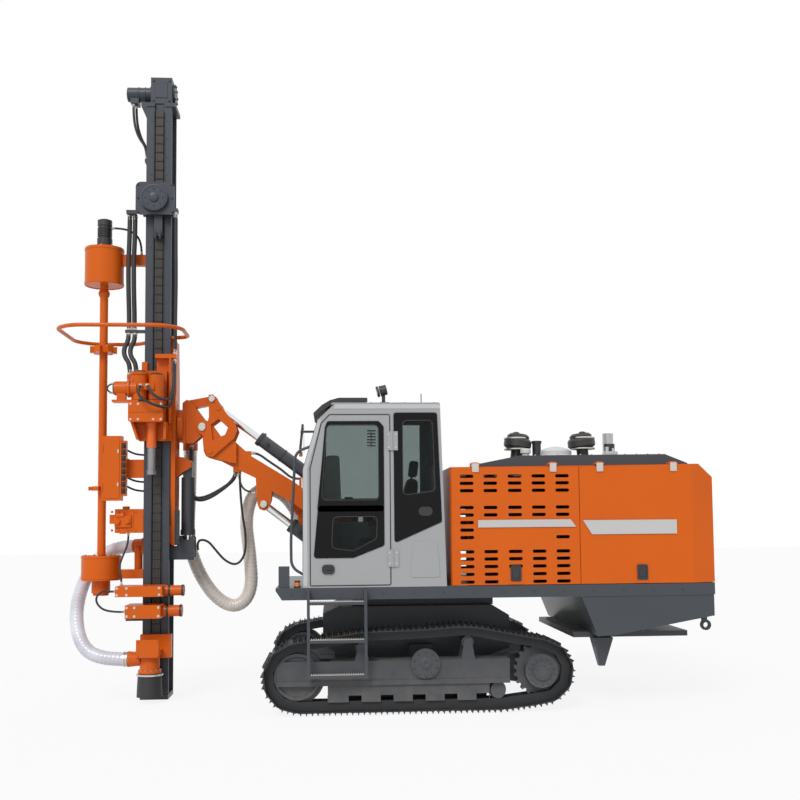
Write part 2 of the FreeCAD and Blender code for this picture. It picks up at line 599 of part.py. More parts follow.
for side_name, side in SIDES.items():
    for place, x0, x1 in PANELS:
        y0, y1 = wall(1186, BODY_HALF, side)
        if place == "front":
            outline = [(x0, PANEL_LOW), (x0, PANEL_TOP), (x1, PANEL_TOP), (x1, PANEL_LOW)]
        else:
            outline = [(x0, PANEL_LOW), (x0, PANEL_TOP), (x1 - 160, PANEL_TOP + 26), (x1, 2326),
                       (x1, PANEL_LOW)]
        panel = plate_xz(outline, y0, y1)
        if place == "rear":
            far_out = BODY_HALF - CORNER_IN
            bent = [(CORNER_X - 10, side * 1186), (CORNER_X - 10, side * BODY_HALF),
                    (CORNER_X, side * BODY_HALF),
                    (x1, side * far_out), (x1, side * (far_out - 34)), (CORNER_X, side * 1186)]
            deep = wall(far_out - 40, BODY_HALF, side)
            corner = plate_xz(outline, deep[0], deep[1]).common(plate_xy(bent, PANEL_LOW, PANEL_TOP + 40))
            panel = panel.cut(box(CORNER_X, x1 + 10, y0 - 5, y1 + 5, PANEL_LOW - 5,
                                  PANEL_TOP + 60)).fuse(corner)
        slots = []
        if place == "front":
            for z, columns in LOUVRE_ROWS:
                for c in columns:
                    x = LOUVRE_X[c]
                    left, right = x - LOUVRE_LONG / 2, x + LOUVRE_LONG / 2
                    low, high = z - LOUVRE_HIGH / 2, z + LOUVRE_HIGH / 2
                    slots.append(rounded_xz([(left, low), (left, high), (right, high), (right, low)],
                                            LOUVRE_HIGH * 0.44, y0 - 5, y1 + 5))
            panel = panel.cut(slots)
        extras = [panel]
        for x in CLIPS[place]:
            c0, c1 = wall(HINGE_Y - 8, BODY_HALF + 8, side)
            extras.append(box(x - 30, x + 30, c0, c1, PANEL_TOP - 46, HINGE_Z - 6))
            extras.append(bar(V(x - 30, side * HINGE_Y, HINGE_Z), V(x + 30, side * HINGE_Y, HINGE_Z), 16))
        lx, lw, lh = LATCHES[place]
        c0, c1 = wall(BODY_HALF - 4, BODY_HALF + 7, side)
        extras.append(box(lx - lw / 2, lx + lw / 2, c0, c1, LATCH_LOW, LATCH_LOW + lh))
        holes = [bar(V(x - 40, side * HINGE_Y, HINGE_Z), V(x + 40, side * HINGE_Y, HINGE_Z), 9 + GAP)
                 for x in CLIPS[place]]
        save("panel_" + side_name + "_" + place, join(extras).cut(holes))

HOOD = ((900, roof_z(900) + GAP), (960, 2484), (1410, 2572), (2950, 2582), (3190, 2486),
        (3200, roof_z(3200) + GAP))
hood = plate_xz(HOOD, -900, 900)
hood = hood.cut(plate_xz([(960, 2430), (960, 2464), (1420, 2556), (2940, 2566), (3150, 2466), (3150, 2430)],
                         -880, 880))
save("hood", hood)

CLEANERS = ((1430, 2575, 7), (2150, 2578, -6))
stack = []
hood_block = plate_xz(HOOD, -900, 900)
hood_block.translate(V(0, 0, GAP))
for x, z, tilt in CLEANERS:
    profile = [(0, -60), (62, -60), (62, 60), (120, 70), (146, 92), (146, 150), (130, 172), (118, 178),
               (118, 205), (90, 228), (0, 236)]
    wire = Part.makePolygon([V(r, 0, h) for r, h in profile] + [V(0, 0, -60)])
    bowl = Part.Face(wire).revolve(V(0, 0, 0), AX_Z, 360)
    bowl.rotate(V(0, 0, 0), AX_Y, tilt)
    bowl.translate(V(x, -600, z + 20))
    stack.append(bowl.cut(hood_block))
stack.append(Part.makeCylinder(46, 150, V(1650, -600, 2570), AX_Z).cut(hood_block))
stack.append(Part.makeCylinder(54, 26, V(1650, -600, 2720), AX_Z))
dome = Part.makeSphere(330, V(1850, -600, 2350), AX_Z, 0, 90, 360)
dome = dome.common(Part.makeCylinder(170, 110, V(1850, -600, 2580), AX_Z))
stack.append(dome.fuse(Part.makeCylinder(170, 40, V(1850, -600, 2560),
                                         AX_Z)).removeSplitter().cut(hood_block))
stack.append(Part.makeCylinder(58, 140, V(2440, -600, 2570), AX_Z).cut(hood_block))
save("air_cleaners", Part.makeCompound([stack[0], stack[1], join(stack[2:5]), stack[5]]))
exhaust = join([Part.makeCylinder(62, 340, V(2700, 420, 2570), AX_Z),
                Part.makeCylinder(90, 26, V(2700, 420, 2570), AX_Z)])
exhaust = exhaust.cut([Part.makeCylinder(54, 340, V(2700, 420, 2600), AX_Z), hood_block])
save("exhaust_stack", exhaust)

# Work lamps on the cab and body, mirror, aerial, and amber lamps at the deck's corners


def lamp(middle, way, radius, deep):
    """A round work lamp with its face towards way, on a short bracket."""
    back = V(middle).sub(V(way).multiply(deep))
    front = V(middle).add(V(way).multiply(8))
    case = [bar(back, middle, radius), bar(middle, front, radius + 4)]
    return join(case).cut(bar(V(middle), V(middle).add(V(way).multiply(20)), radius - 5))


LAMP_R = 52
VISOR_TOP = ((-725, 2990), (-640, 3072), (-560, 3120), (-470, 3146), (-185, 3146))
VISOR_LOW = ((-178, 3104), (-500, 3098), (-600, 3040), (-696, 2962))
sheet = list(VISOR_TOP) + [(x + 7, z - 13) for x, z in VISOR_TOP[::-1]]
visor = [plate_xz(sheet, CAB_OUT + 40, CAB_IN - 40)]
for y0, y1 in ((CAB_OUT + 40, CAB_OUT + 54), (CAB_IN - 54, CAB_IN - 40)):
    visor.append(plate_xz(VISOR_TOP + VISOR_LOW, y0, y1))
    visor.append(box(-420, -300, y0 - 10, y1 + 10, ROOF_TOP + GAP, 3112))
lamps = [join(visor)]
lamps.append(join([lamp(V(-40, -1080, 3225), V(-0.97, 0, -0.24), LAMP_R, 60),
                   box(-30, 5, -1092, -1068, ROOF_TOP + GAP, 3225),
                   box(-50, 40, -1110, -1050, ROOF_TOP + GAP, ROOF_TOP + 14)]))
mirror = [plate_xz([(-872, 2600), (-852, 2600), (-822, 2880), (-842, 2884)], -1155, -1005),
          box(-852, -832, -1212, -1100, 2790, 2812),
          box(-852, -700, -1212, -1190, 2790, 2812),
          box(-866, -836, -1150, -1090, 2560, 2604)]
lamps.append(join(mirror))
around = [plate_xz(grow(CAB_SIDE, GAP), CAB_OUT, CAB_IN),
          plate_xz(grow(((-560, 3076), (-530, ROOF_TOP), (540, ROOF_TOP), (560, 3076)), GAP), CAB_OUT + 24,
                   CAB_IN - 24)]
lamps = [one.cut(around) for one in lamps]
lamps.append(join([Part.makeCylinder(16, 24, V(405, -700, ROOF_TOP + GAP), AX_Z),
                   Part.makeCylinder(5, 150, V(405, -700, ROOF_TOP + GAP), AX_Z)]))
lamps.append(join([Part.makeCylinder(34, 14, V(-888, -1150, DECK_TOP + GAP), AX_Z),
                   Part.makeCylinder(27, 70, V(-888, -1150, DECK_TOP + GAP), AX_Z)]))
save("work_lamps", Part.makeCompound(lamps))

# Ladder, grab rail, deck box
STEPS = (390, 730, 1100)
ladder = [box(-790, -762, -1320, -1262, 370, 1230), box(-228, -200, -1320, -1262, 370, 1230)]
for z in STEPS:
    ladder.append(box(-765, -225, -1324, -1258, z - 14, z + 14))
for x0, x1 in ((-790, -762), (-228, -200)):
    ladder.append(box(x0, x1, -BODY_HALF - 50, -BODY_HALF, 1150, 1230))
save("ladder", join(ladder))
rail_points = [V(-740, -1180, 2660), V(-905, -1180, 2600), V(-950, -1180, 1720), V(-945, -1180, 1450),
               V(-800, -1180, 1365)]
rail, rail_radii = hose(rail_points, 14)
rail = rail.cut(plate_xz(grow(CAB_SIDE, GAP), CAB_OUT, CAB_IN))
save("deck_fittings", Part.makeCompound([rail] + [box(-1072, -968, -1190, -1060, DECK_TOP + GAP, 1460)]))

GLAND = 50

# Boom group: pins in X and Z, all on the boom's own middle plane
BOOM_ROOT = (-500, 1950)
LIFT_BASE = (-530, 1510)
LIFT_EYE = (-1300, 2105)
PIN_A = (-1980, 2970)
PIN_B = (-2140, 3220)
PIN_C = (-1870, 3280)
PIN_D = (-1890, 2700)
PIN_E = (-1800, 3180)
TILT_BASE = (-720, 2375)


def round_pin(pin, radius, half):
    return wheel(pin[0], pin[1], radius, BOOM_Y - half, BOOM_Y + half)


def pair(points, near, far):
    return [plate_xz(points, BOOM_Y - far, BOOM_Y - near), plate_xz(points, BOOM_Y + near, BOOM_Y + far)]


def stubs(pin, radius, near, far):
    """A short pin in each of two ears, with nothing between them."""
    return [wheel(pin[0], pin[1], radius, BOOM_Y - far, BOOM_Y - near),
            wheel(pin[0], pin[1], radius, BOOM_Y + near, BOOM_Y + far)]


HOSE_CLAMP_LOW = 2470
post_ears = ((-350, 1780), (-350, 2070), (-480, 2050), (-590, 1990), (-590, 1900), (-470, 1800))
low_ears = ((-350, 1380), (-350, 1640), (-520, 1600), (-610, 1550), (-610, 1470), (-500, 1420))
post = [Part.makeCylinder(108, 680, V(POST_X, BOOM_Y, 1335), AX_Z)]
post += pair(post_ears, 100, 138)
post += pair(low_ears, 80, 112)
post.append(box(-400, -330, BOOM_Y - 138, BOOM_Y + 138, 1790, 2060))
boom_post = join(post).cut([Part.makeCylinder(50 + GAP, 1200, V(POST_X, BOOM_Y, 1200), AX_Z)])
boom_post = join([boom_post.cut([round_pin(BOOM_ROOT, 92, 96)]), round_pin(BOOM_ROOT, 38, 138),
                  round_pin(LIFT_BASE, 32, 118)])
save("boom_post", boom_post)

boom_outline = ((-512, 2037), (-640, 2105), (-950, 2345), (-1440, 2645), (-1650, 2835), (-1700, 2840),
                (-1770, 2700),
                (-1790, 2600), (-1640, 2520), (-1390, 2400), (-1300, 2300), (-980, 2125), (-860, 2030),
                (-560, 1865))
tip_outline = ((-1600, 2560), (-1600, 2780), (-1660, 2845), (-1780, 2860), (-1900, 3030), (-1950, 3045),
               (-2020, 3030), (-2052, 2970), (-2020, 2905), (-1975, 2880), (-1960, 2700), (-1935, 2640),
               (-1870, 2620), (-1790, 2600))
lug_outline = ((-1390, 2410), (-1370, 2110), (-1345, 2050), (-1300, 2035), (-1255, 2050), (-1215, 2150),
               (-1210, 2270))
base_outline = ((-640, 2085), (-660, 2370), (-690, 2425), (-750, 2425), (-790, 2370), (-830, 2215))
boom = [plate_xz(boom_outline, BOOM_Y - 92, BOOM_Y + 92)]
boom += pair(tip_outline, 114, 139)
boom += [box(-1690, -1600, BOOM_Y - 139, BOOM_Y + 139, 2570, 2780)]
boom += pair(lug_outline, 56, 90)
boom += pair(base_outline, 80, 108)
boom += [round_pin(BOOM_ROOT, 88, 92)]
boom += [
    box(-1640, -1560, BOOM_Y - 80, BOOM_Y + 80, HOSE_CLAMP_LOW, 2530),
    box(-1500, -1440, 110, 150, 2650, 2700),
    box(-905, -878, 108, 142, 2280, 2404),
    plate_xz([(-1000, 2060), (-1000, 2180), (-850, 2180), (-790, 2060), (-790, 1830), (-900, 1830),
              (-930, 1980)], BOOM_Y + 91, 326),
    bar(V(-905, 405, 1925), V(-858, 405, 1800), 84),
]
boom = join(boom).cut([round_pin(BOOM_ROOT, 38 + GAP, 150)])
boom = join([boom, round_pin(TILT_BASE, 30, 114)] + stubs(PIN_D, 34, 114, 180) + stubs(LIFT_EYE, 32, 56,
                                                                                       98))
boom = boom.cut([round_pin(PIN_A, 39 + GAP, 150)])
save("boom", boom)


def cylinder_pair(base, eye, barrel_r, bore_r, rod_r, barrel_long, rod_long, eye_r, base_half, half, pin_r,
                  pin_half):
    """The barrel and the rod of a hydraulic cylinder lying in the boom's plane."""
    start = V(base[0], BOOM_Y, base[1])
    end = V(eye[0], BOOM_Y, eye[1])
    run = end.sub(start).normalize()

    def along(distance):
        return start.add(V(run).multiply(distance))

    def back(distance):
        return end.sub(V(run).multiply(distance))

    port_foot = along(barrel_long - 90).add(V(0, 0, barrel_r - 6))
    barrel = join([
        bar(along(eye_r * 0.6), along(barrel_long), barrel_r),
        bar(along(barrel_long - 46), along(barrel_long), barrel_r + 7),
        bar(port_foot, port_foot.add(V(0, 0, 40)), 15),
        round_pin(base, eye_r, base_half),
    ])
    barrel = barrel.cut([
        bar(along(eye_r + 50), along(barrel_long - GLAND), bore_r),
        bar(along(barrel_long - GLAND - 5), along(barrel_long + 5), rod_r + GAP),
        round_pin(base, pin_r + GAP, base_half + 5),
    ])
    rod = join([
        bar(back(rod_long), end, rod_r),
        bar(back(rod_long), back(rod_long - 30), bore_r - GAP),
        round_pin(eye, eye_r, half),
        round_pin(eye, pin_r - 2, pin_half),
    ])
    return barrel, rod


lift_barrel, lift_rod = cylinder_pair(LIFT_BASE, LIFT_EYE, 74, 60, 42, 600, 710, 58, 78, 48, 32, 54)
save("lift_barrel", lift_barrel)
save("lift_rod", lift_rod)
tilt_barrel, tilt_rod = cylinder_pair(TILT_BASE, PIN_E, 72, 58, 40, 800, 760, 54, 78, 44, 30, 143)
save("tilt_barrel", tilt_barrel)
save("tilt_rod", tilt_rod)

rocker_outline = ((-1905, 3325), (-1855, 3330), (-1705, 3115), (-1620, 3020), (-1590, 2930), (-1630, 2830),
                  (-1860, 2632), (-1920, 2640), (-1955, 2730), (-1962, 2830), (-1900, 3080))
rocker = pair(rocker_outline, 146, 171)
window = plate_xz([(-1880, 3000), (-1800, 3060), (-1690, 2960), (-1720, 2880), (-1860, 2820)],
                  BOOM_Y - 180, BOOM_Y + 180)
rocker = [r.cut([round_pin(PIN_D, 34 + GAP, 200), window]) for r in rocker]
rocker = join(rocker + [round_pin(PIN_C, 28, 180)] + stubs(PIN_E, 30, 146, 180))
save("rocker", rocker)
LINK_FORK = 50
link = rounded_xz([(PIN_B[0] - 44, PIN_B[1] - 52), (PIN_B[0] - 52, PIN_B[1] + 44),
                   (PIN_C[0] + 44, PIN_C[1] + 52), (PIN_C[0] + 52, PIN_C[1] - 44)], 40,
                  BOOM_Y - 68, BOOM_Y + 68)
link = link.cut([round_pin(PIN_C, 28 + GAP, 80), round_pin(PIN_C, 80, LINK_FORK)])
save("tilt_link", join([link, round_pin(PIN_B, 29, 75)]))

HOLDER_BACK = -2250
HUB_REACH = 30
SOCKET_LOW = 2735
SWING_Z = 2990
holder_ears = ((-2200, 2790), (-2200, 3240), (-2160, 3275), (-2120, 3270), (-2080, 3220), (-1925, 3010),
               (-1915, 2960), (-1945, 2915), (-2090, 2790))
holder = [Part.makeCylinder(185, 60, V(HOLDER_BACK, BOOM_Y, SWING_Z), AX_X),
          Part.makeCylinder(58, HUB_REACH + 10, V(HOLDER_BACK - HUB_REACH, BOOM_Y, SWING_Z), AX_X),
          box(-2192, -2165, BOOM_Y - 130, BOOM_Y + 130, 2790, 3145),
          box(-2200, -2095, 262, 400, 2790, 2860),
          bar(V(-2160, 470, SOCKET_LOW), V(-2160, 470, 2860), 84)]
holder += pair(holder_ears, 78, 108)
holder = join(holder + [round_pin(PIN_A, 39, 145)] + stubs(PIN_B, 29, 78, 112))
save("feed_holder", holder)

# Feed cradle and its slide cylinder
CRADLE_X0 = -2305
CRADLE_X1 = -2256
CRADLE_Y0 = -60
CRADLE_Y1 = 275
SLIDE_X = -2140
SLIDE_Y = 150
cradle = [plate_yz([(CRADLE_Y0 + 60, 1660), (CRADLE_Y0, 2200), (CRADLE_Y0, 3280), (CRADLE_Y0 + 60, 3350),
                    (CRADLE_Y0 + 60, 3920),
                    (CRADLE_Y1 - 60, 3920), (CRADLE_Y1, 3500), (CRADLE_Y1, 2200), (CRADLE_Y1 - 60, 1660)],
                   CRADLE_X0, CRADLE_X1)]
for y0, z0, z1 in ((-44, 1680, 1880), (-44, 2700, 2900), (CRADLE_Y0 + 60, 3720, 3900)):
    cradle.append(box(-2345, CRADLE_X0, y0, 244, z0, z1))
for y0, y1 in ((SLIDE_Y - 95, SLIDE_Y - 62), (SLIDE_Y + 62, SLIDE_Y + 95)):
    cradle.append(plate_xz([(CRADLE_X1, 2420), (CRADLE_X1, 2640), (SLIDE_X - 40, 2630),
                            (SLIDE_X + 45, 2590),
                            (SLIDE_X + 45, 2520), (SLIDE_X - 40, 2470)], y0, y1))
cradle = join(cradle).cut([Part.makeCylinder(58 + GAP, 200, V(-2360, BOOM_Y, SWING_Z), AX_X)])
save("feed_cradle", join([cradle, wheel(SLIDE_X, 2555, 26, SLIDE_Y - 95, SLIDE_Y + 95)]))

slide_barrel = join([Part.makeCylinder(74, 640, V(SLIDE_X, SLIDE_Y, 1770), AX_Z),
                     Part.makeCylinder(82, 60, V(SLIDE_X, SLIDE_Y, 1770), AX_Z),
                     wheel(SLIDE_X, 2555, 52, SLIDE_Y - 56, SLIDE_Y + 56),
                     box(SLIDE_X - 50, SLIDE_X + 50, SLIDE_Y - 56, SLIDE_Y + 56, 2400, 2555)])
slide_barrel = slide_barrel.cut([Part.makeCylinder(60, 625, V(SLIDE_X, SLIDE_Y, 1765), AX_Z),
                                 wheel(SLIDE_X, 2555, 26 + GAP, SLIDE_Y - 60, SLIDE_Y + 60)])
save("slide_barrel", slide_barrel)
save("slide_rod", join([Part.makeCylinder(40, 780, V(SLIDE_X, SLIDE_Y, 1585), AX_Z),
                        Part.makeCylinder(60 - GAP, 40, V(SLIDE_X, SLIDE_Y, 2325), AX_Z),
                        wheel(SLIDE_X, 1580, 50, SLIDE_Y - 50, SLIDE_Y + 50)]).cut(
    [wheel(SLIDE_X, 1580, 25 + GAP, SLIDE_Y - 60, SLIDE_Y + 60)]))

# Feed beam with its foot, rails and brackets
BEAM_X0 = -2590
BEAM_X1 = -2310
BEAM_Y0 = -80
BEAM_Y1 = 280
BEAM_LOW = 20
BEAM_TOP = 6560
DRILL_X = -2480
DRILL_Y = -250
BRACKET_LOW = 4005
BRACKET_TOP = 4035
PORT_TOP = 6000
SLOT_X0 = -2500
SLOT_X1 = -2392
beam = [
    box(BEAM_X0, -2350, BEAM_Y0, BEAM_Y1, BEAM_LOW, BEAM_TOP),
    box(-2350, BEAM_X1, BEAM_Y0, BEAM_Y0 + 30, BEAM_LOW, BEAM_TOP),
    box(-2350, BEAM_X1, BEAM_Y1 - 30, BEAM_Y1, BEAM_LOW, BEAM_TOP),
    box(-2650, -2270, BEAM_Y0 - 10, BEAM_Y1, BEAM_TOP, BEAM_TOP + 45),
    box(-2610, BEAM_X1, BEAM_Y0 - 20, BEAM_Y1, 10, 60),
]
for y0, y1 in ((SLIDE_Y - 88, SLIDE_Y - 58), (SLIDE_Y + 58, SLIDE_Y + 88)):
    beam.append(plate_xz([(-2352, 1500), (-2352, 1650), (-2246, 1650), (-2246, 1764), (-2190, 1764),
                          (-2176, 1720), (-2104, 1720), (-2092, 1764), (-2072, 1764), (-2060, 1740),
                          (-2060, 1540), (-2085, 1505)], y0, y1))
beam.append(box(-2352, -2066, SLIDE_Y - 70, SLIDE_Y + 70, 1500, 1524))
beam.append(box(-2775, BEAM_X0 + 10, -66, 10, 850, 935))
beam.append(box(-2810, BEAM_X0 + 10, -66, -10, BRACKET_LOW, BRACKET_TOP))
beam.append(box(-2625, BEAM_X0 + 10, 20, 120, 5960, PORT_TOP))
beam = join(beam).cut([box(SLOT_X0, SLOT_X1, BEAM_Y0 - 30, BEAM_Y0 + 32, 240, BEAM_TOP + 60)])
beam = join([beam, wheel(SLIDE_X, 1580, 25, SLIDE_Y - 88, SLIDE_Y + 88)])
save("feed_beam", beam)

CHAIN_LINKS = 31
CHAIN_LOW = 300
CHAIN_PITCH = (BEAM_TOP - CHAIN_LOW - 29) / CHAIN_LINKS
chain_mid = (SLOT_X0 + SLOT_X1) / 2
right_edge = []
left_edge = []
for n in range(CHAIN_LINKS):
    z = CHAIN_LOW + n * CHAIN_PITCH
    for rise, half in ((0, 40), (CHAIN_PITCH * 0.5, 40), (CHAIN_PITCH * 0.5, 28), (CHAIN_PITCH * 1.0, 28)):
        right_edge.append((chain_mid + half, z + rise))
        left_edge.append((chain_mid - half, z + rise))
save("feed_chain", plate_xz(right_edge + left_edge[::-1], BEAM_Y0 + 4, BEAM_Y0 + 32 - GAP))

top_drive = [
    box(-2550, -2315, -60, 240, BEAM_TOP + 45 + GAP, BEAM_TOP + 345),
    Part.makeCylinder(118, 26, V(-2316, 90, BEAM_TOP + 200), AX_X),
    Part.makeCylinder(92, 24, V(-2574, 90, BEAM_TOP + 200), AX_X),
    Part.makeCylinder(80, 250, V(-2820, 90, BEAM_TOP + 200), AX_X),
    box(-2790, -2700, 20, 160, BEAM_TOP + 80, BEAM_TOP + 140),
]
save("top_drive", join(top_drive))

# Shoes that run on the beam's front rails
def guide_shoes(z0, z1):
    shoes = []
    for low, high in ((z0, z0 + 110), (z1 - 110, z1)):
        shoes.append(box(-2614, BEAM_X0 - GAP, -118, -72, low, high))
        shoes.append(box(BEAM_X1 + GAP, -2286, -118, -72, low, high))
        shoes.append(box(-2590, -2550, -90, BEAM_Y0 - GAP, low, high))
        shoes.append(box(-2350, -2310, -90, BEAM_Y0 - GAP, low, high))
    return shoes


# Hose carriage
CARRIAGE_ARM_Z = 5330
carriage = [
    box(-2600, -2300, -118, -86, 5300, 5660),
    rounded_xz([(-2685, 5300), (-2685, 5665), (-2265, 5665), (-2265, 5300)], 60, -190, -160),
    box(-2560, -2340, -165, -110, 5380, 5600),
    wheel(-2480, 5480, 150, -230, -188),
    box(-2490, -2400, -140, -90, 5070, 5310),
    box(-2800, -2595, -112, -92, CARRIAGE_ARM_Z, 5370),
    box(-2800, -2700, -112, -20, CARRIAGE_ARM_Z, 5370),
    box(-2300, -2225, -190, -105, CARRIAGE_ARM_Z, 5370),
] + guide_shoes(5300, 5660)
save("hose_carriage", join(carriage))

# Rotary head and the drill pipe it turns
HEAD_LOW = 2800
HEAD_TOP = 3670
GEAR_LOW = 2985
GEAR_TOP = 3200
head = [
    box(-2604, -2296, -120, -86, HEAD_LOW, 3340),
    box(-2604, -2556, -120, -86, 3330, HEAD_TOP),
    box(-2452, -2286, -120, -86, 3330, 3745),
    box(-2306, -2286, -205, -110, GEAR_LOW, 3745),
    box(-2455, -2232, -205, -100, 3700, 3745),
    box(-2600, -2430, -400, -300, 3330, 3400),
    box(-2760, -2556, -190, -122, 3470, 3520),
    rounded_xz([(-2706, GEAR_LOW), (-2706, GEAR_TOP), (-2338, GEAR_TOP), (-2338, GEAR_LOW)], 22, -400,
               -118),
    plate_xz([(-2690, GEAR_LOW + 5), (-2626, HEAD_LOW - 6), (-2322, HEAD_LOW - 6), (-2312, GEAR_LOW + 5)],
             -186, -118),
    plate_xz([(-2694, GEAR_LOW + 5), (-2664, GEAR_LOW + 5), (-2604, HEAD_LOW), (-2630, HEAD_LOW)], -330,
             -180),
    plate_xz([(-2344, GEAR_LOW + 5), (-2314, GEAR_LOW + 5), (-2318, HEAD_LOW), (-2344, HEAD_LOW)], -330,
             -180),
    box(-2560, -2330, -200, -118, GEAR_TOP - 5, 3560),
    Part.makeCylinder(84, 320, V(-2606, -300, GEAR_TOP - 5), AX_Z),
    Part.makeCylinder(96, 26, V(-2606, -300, 3500), AX_Z),
    Part.makeCylinder(84, 300, V(-2424, -300, GEAR_TOP - 5), AX_Z),
    Part.makeCylinder(92, 24, V(-2424, -300, GEAR_TOP - 5), AX_Z),
    bar(V(-2858, -330, 3350), V(-2620, -330, 3350), 76),
    bar(V(-2720, -330, 3350), V(-2696, -330, 3350), 98),
    box(-2880, -2600, -395, -250, GEAR_TOP - 2, 3222),
    box(-2830, -2740, -380, -280, 3215, 3300),
] + guide_shoes(HEAD_LOW, HEAD_TOP)
save("rotary_head", join(head))
SHANK_LOW = 2713
pipe = join([Part.makeCylinder(52, GEAR_LOW - GAP - SHANK_LOW, V(DRILL_X, DRILL_Y, SHANK_LOW), AX_Z),
             Part.makeCylinder(58, 34, V(DRILL_X, DRILL_Y, GEAR_LOW - GAP - 34), AX_Z),
             Part.makeCylinder(44.5, 330, V(DRILL_X, DRILL_Y, 2420), AX_Z)])
pipe = pipe.cut(Part.makeCylinder(30, 90, V(DRILL_X, DRILL_Y, 2420), AX_Z))
save("drill_pipe", pipe)

# Pipe magazine
MAG_X = -3075
MAG_Y = 100
magazine = [
    Part.makeCylinder(70, 325, V(MAG_X, MAG_Y, 4975), AX_Z),
    Part.makeCylinder(212, 420, V(MAG_X, MAG_Y, 4560), AX_Z).cut(
        Part.makeCylinder(196, 385, V(MAG_X, MAG_Y, 4555), AX_Z)),
    box(MAG_X + 150, BEAM_X0, MAG_Y - 40, MAG_Y + 40, 4790, 4910),
    Part.makeCylinder(212, 270, V(MAG_X, MAG_Y, 1285), AX_Z).cut(
        Part.makeCylinder(198, 255, V(MAG_X, MAG_Y, 1310), AX_Z)),
    Part.makeCylinder(100, 150, V(MAG_X, MAG_Y, 1145), AX_Z),
    Part.makeCylinder(84, 30, V(MAG_X, MAG_Y, 1118), AX_Z),
    Part.makeCylinder(38, 260, V(MAG_X, MAG_Y, 1300 - GAP), AX_Z),
    box(MAG_X + 150, BEAM_X0, MAG_Y - 40, MAG_Y + 40, 1300, 1400),
]
shaft = Part.makeCylinder(34, 240, V(MAG_X, MAG_Y, 4710 + GAP), AX_Z)
gripper = [
    box(-2900, BEAM_X0 - GAP, -60, 55, 1800, 2060),
    box(-2960, -2890, -45, 40, 1900, 2000),
    bar(V(-2880, -66, 1990), V(-2800, -66, 1990), 30),
    bar(V(-2790, -5, 2050), V(-2790, -5, 2090), 38),
    box(-2760, -2700, -66, -50, 1830, 2050),
    box(-2850, -2780, -64, -50, 1790, 1890),
]
magazine = [magazine[0].fuse([magazine[1], magazine[2], shaft]), magazine[3].fuse(magazine[4:]),
            join(gripper)]
save("magazine_frame", Part.makeCompound([m.removeSplitter() for m in magazine]))
carousel = [Part.makeCylinder(45, 3150, V(MAG_X, MAG_Y, 1560), AX_Z),
            Part.makeSphere(62, V(MAG_X, MAG_Y, 4470))]
STAR_R = 150
STAR_ARMS = 6
for z0, z1 in ((2270, 2310), (3800, 3870)):
    star = []
    for n in range(STAR_ARMS):
        for step, radius in ((0.0, STAR_R), (0.45, STAR_R), (0.55, 92), (0.9, 92)):
            a = 2 * math.pi * (n + step) / STAR_ARMS
            star.append((MAG_X + radius * math.cos(a), MAG_Y + radius * math.sin(a)))
    carousel.append(plate_xy(star, z0, z1))
save("carousel", join(carousel))
guard_points = [V(-2311, -38, 3950), V(-2110, -98, 3950), V(-2110, -620, 3950), V(-2300, -810, 3950),
                V(-3220, -810, 3950), V(-3410, -620, 3950), V(-3410, 220, 3950), V(-3220, 400, 3950),
                V(-2760, 400, 3950), V(-2588, 230, 3950)]
guard, guard_radii = hose(guard_points, 21)
guard = guard.cut(box(BEAM_X0 - GAP, BEAM_X1 + GAP, BEAM_Y0 - GAP, BEAM_Y1 + GAP, 3900, 4000))
save("guard_ring", guard)
valve = [box(-3020, -2810, -200, -75, 2150, 2850), box(-2812, BEAM_X0, -64, -20, 2400, 2600),
         box(-2850, -2800, -110, -60, 2380, 2620), box(-2812, -2760, -190, -110, 2200, 2800)]
save("valve_box", join(valve))

# Pipe clamps and dust hood at the beam's lower end
CLAMP_HOLE = 70


def clamp(x0, x1, y0, z0, z1, cyl_x1, cyl_r):
    plate = box(x0, x1, y0, BEAM_Y0, z0, z1)
    middle = (z0 + z1) / 2
    arm = Part.makeCylinder(cyl_r, cyl_x1 - x1 + 20, V(x1 - 20, DRILL_Y, middle), AX_X)
    return join([plate, arm]).cut([Part.makeCylinder(CLAMP_HOLE, 600, V(DRILL_X, DRILL_Y, z0 - 200), AX_Z)])


save("pipe_clamps", Part.makeCompound([clamp(-2820, -2330, -420, 1130, 1240, -2120, 55),
                                       clamp(-2720, -2350, -400, 900, 1040, -2140, 60)]))
hood_parts = [
    box(-2600, -2270, -160, BEAM_Y0, 460, 710),
    box(-2610, -2360, -380, -140, 500, 560),
    Part.makeCylinder(105, 180, V(DRILL_X, DRILL_Y, 350), AX_Z),
    Part.makeCylinder(122, 30, V(DRILL_X, DRILL_Y, 320), AX_Z),
]
outlet = Part.makeCone(70, 84, 130, V(-2575, DRILL_Y, 465), V(-1, 0, 0))
dust_hood = join(hood_parts + [outlet]).cut([Part.makeCylinder(92, 400, V(DRILL_X, DRILL_Y, 250), AX_Z)])
skirt_low = Part.makeCone(136, 124, 250, V(DRILL_X, DRILL_Y, 70), AX_Z).cut(
    Part.makeCone(126, 114, 260, V(DRILL_X, DRILL_Y, 65), AX_Z))
save("hood_skirt", skirt_low)

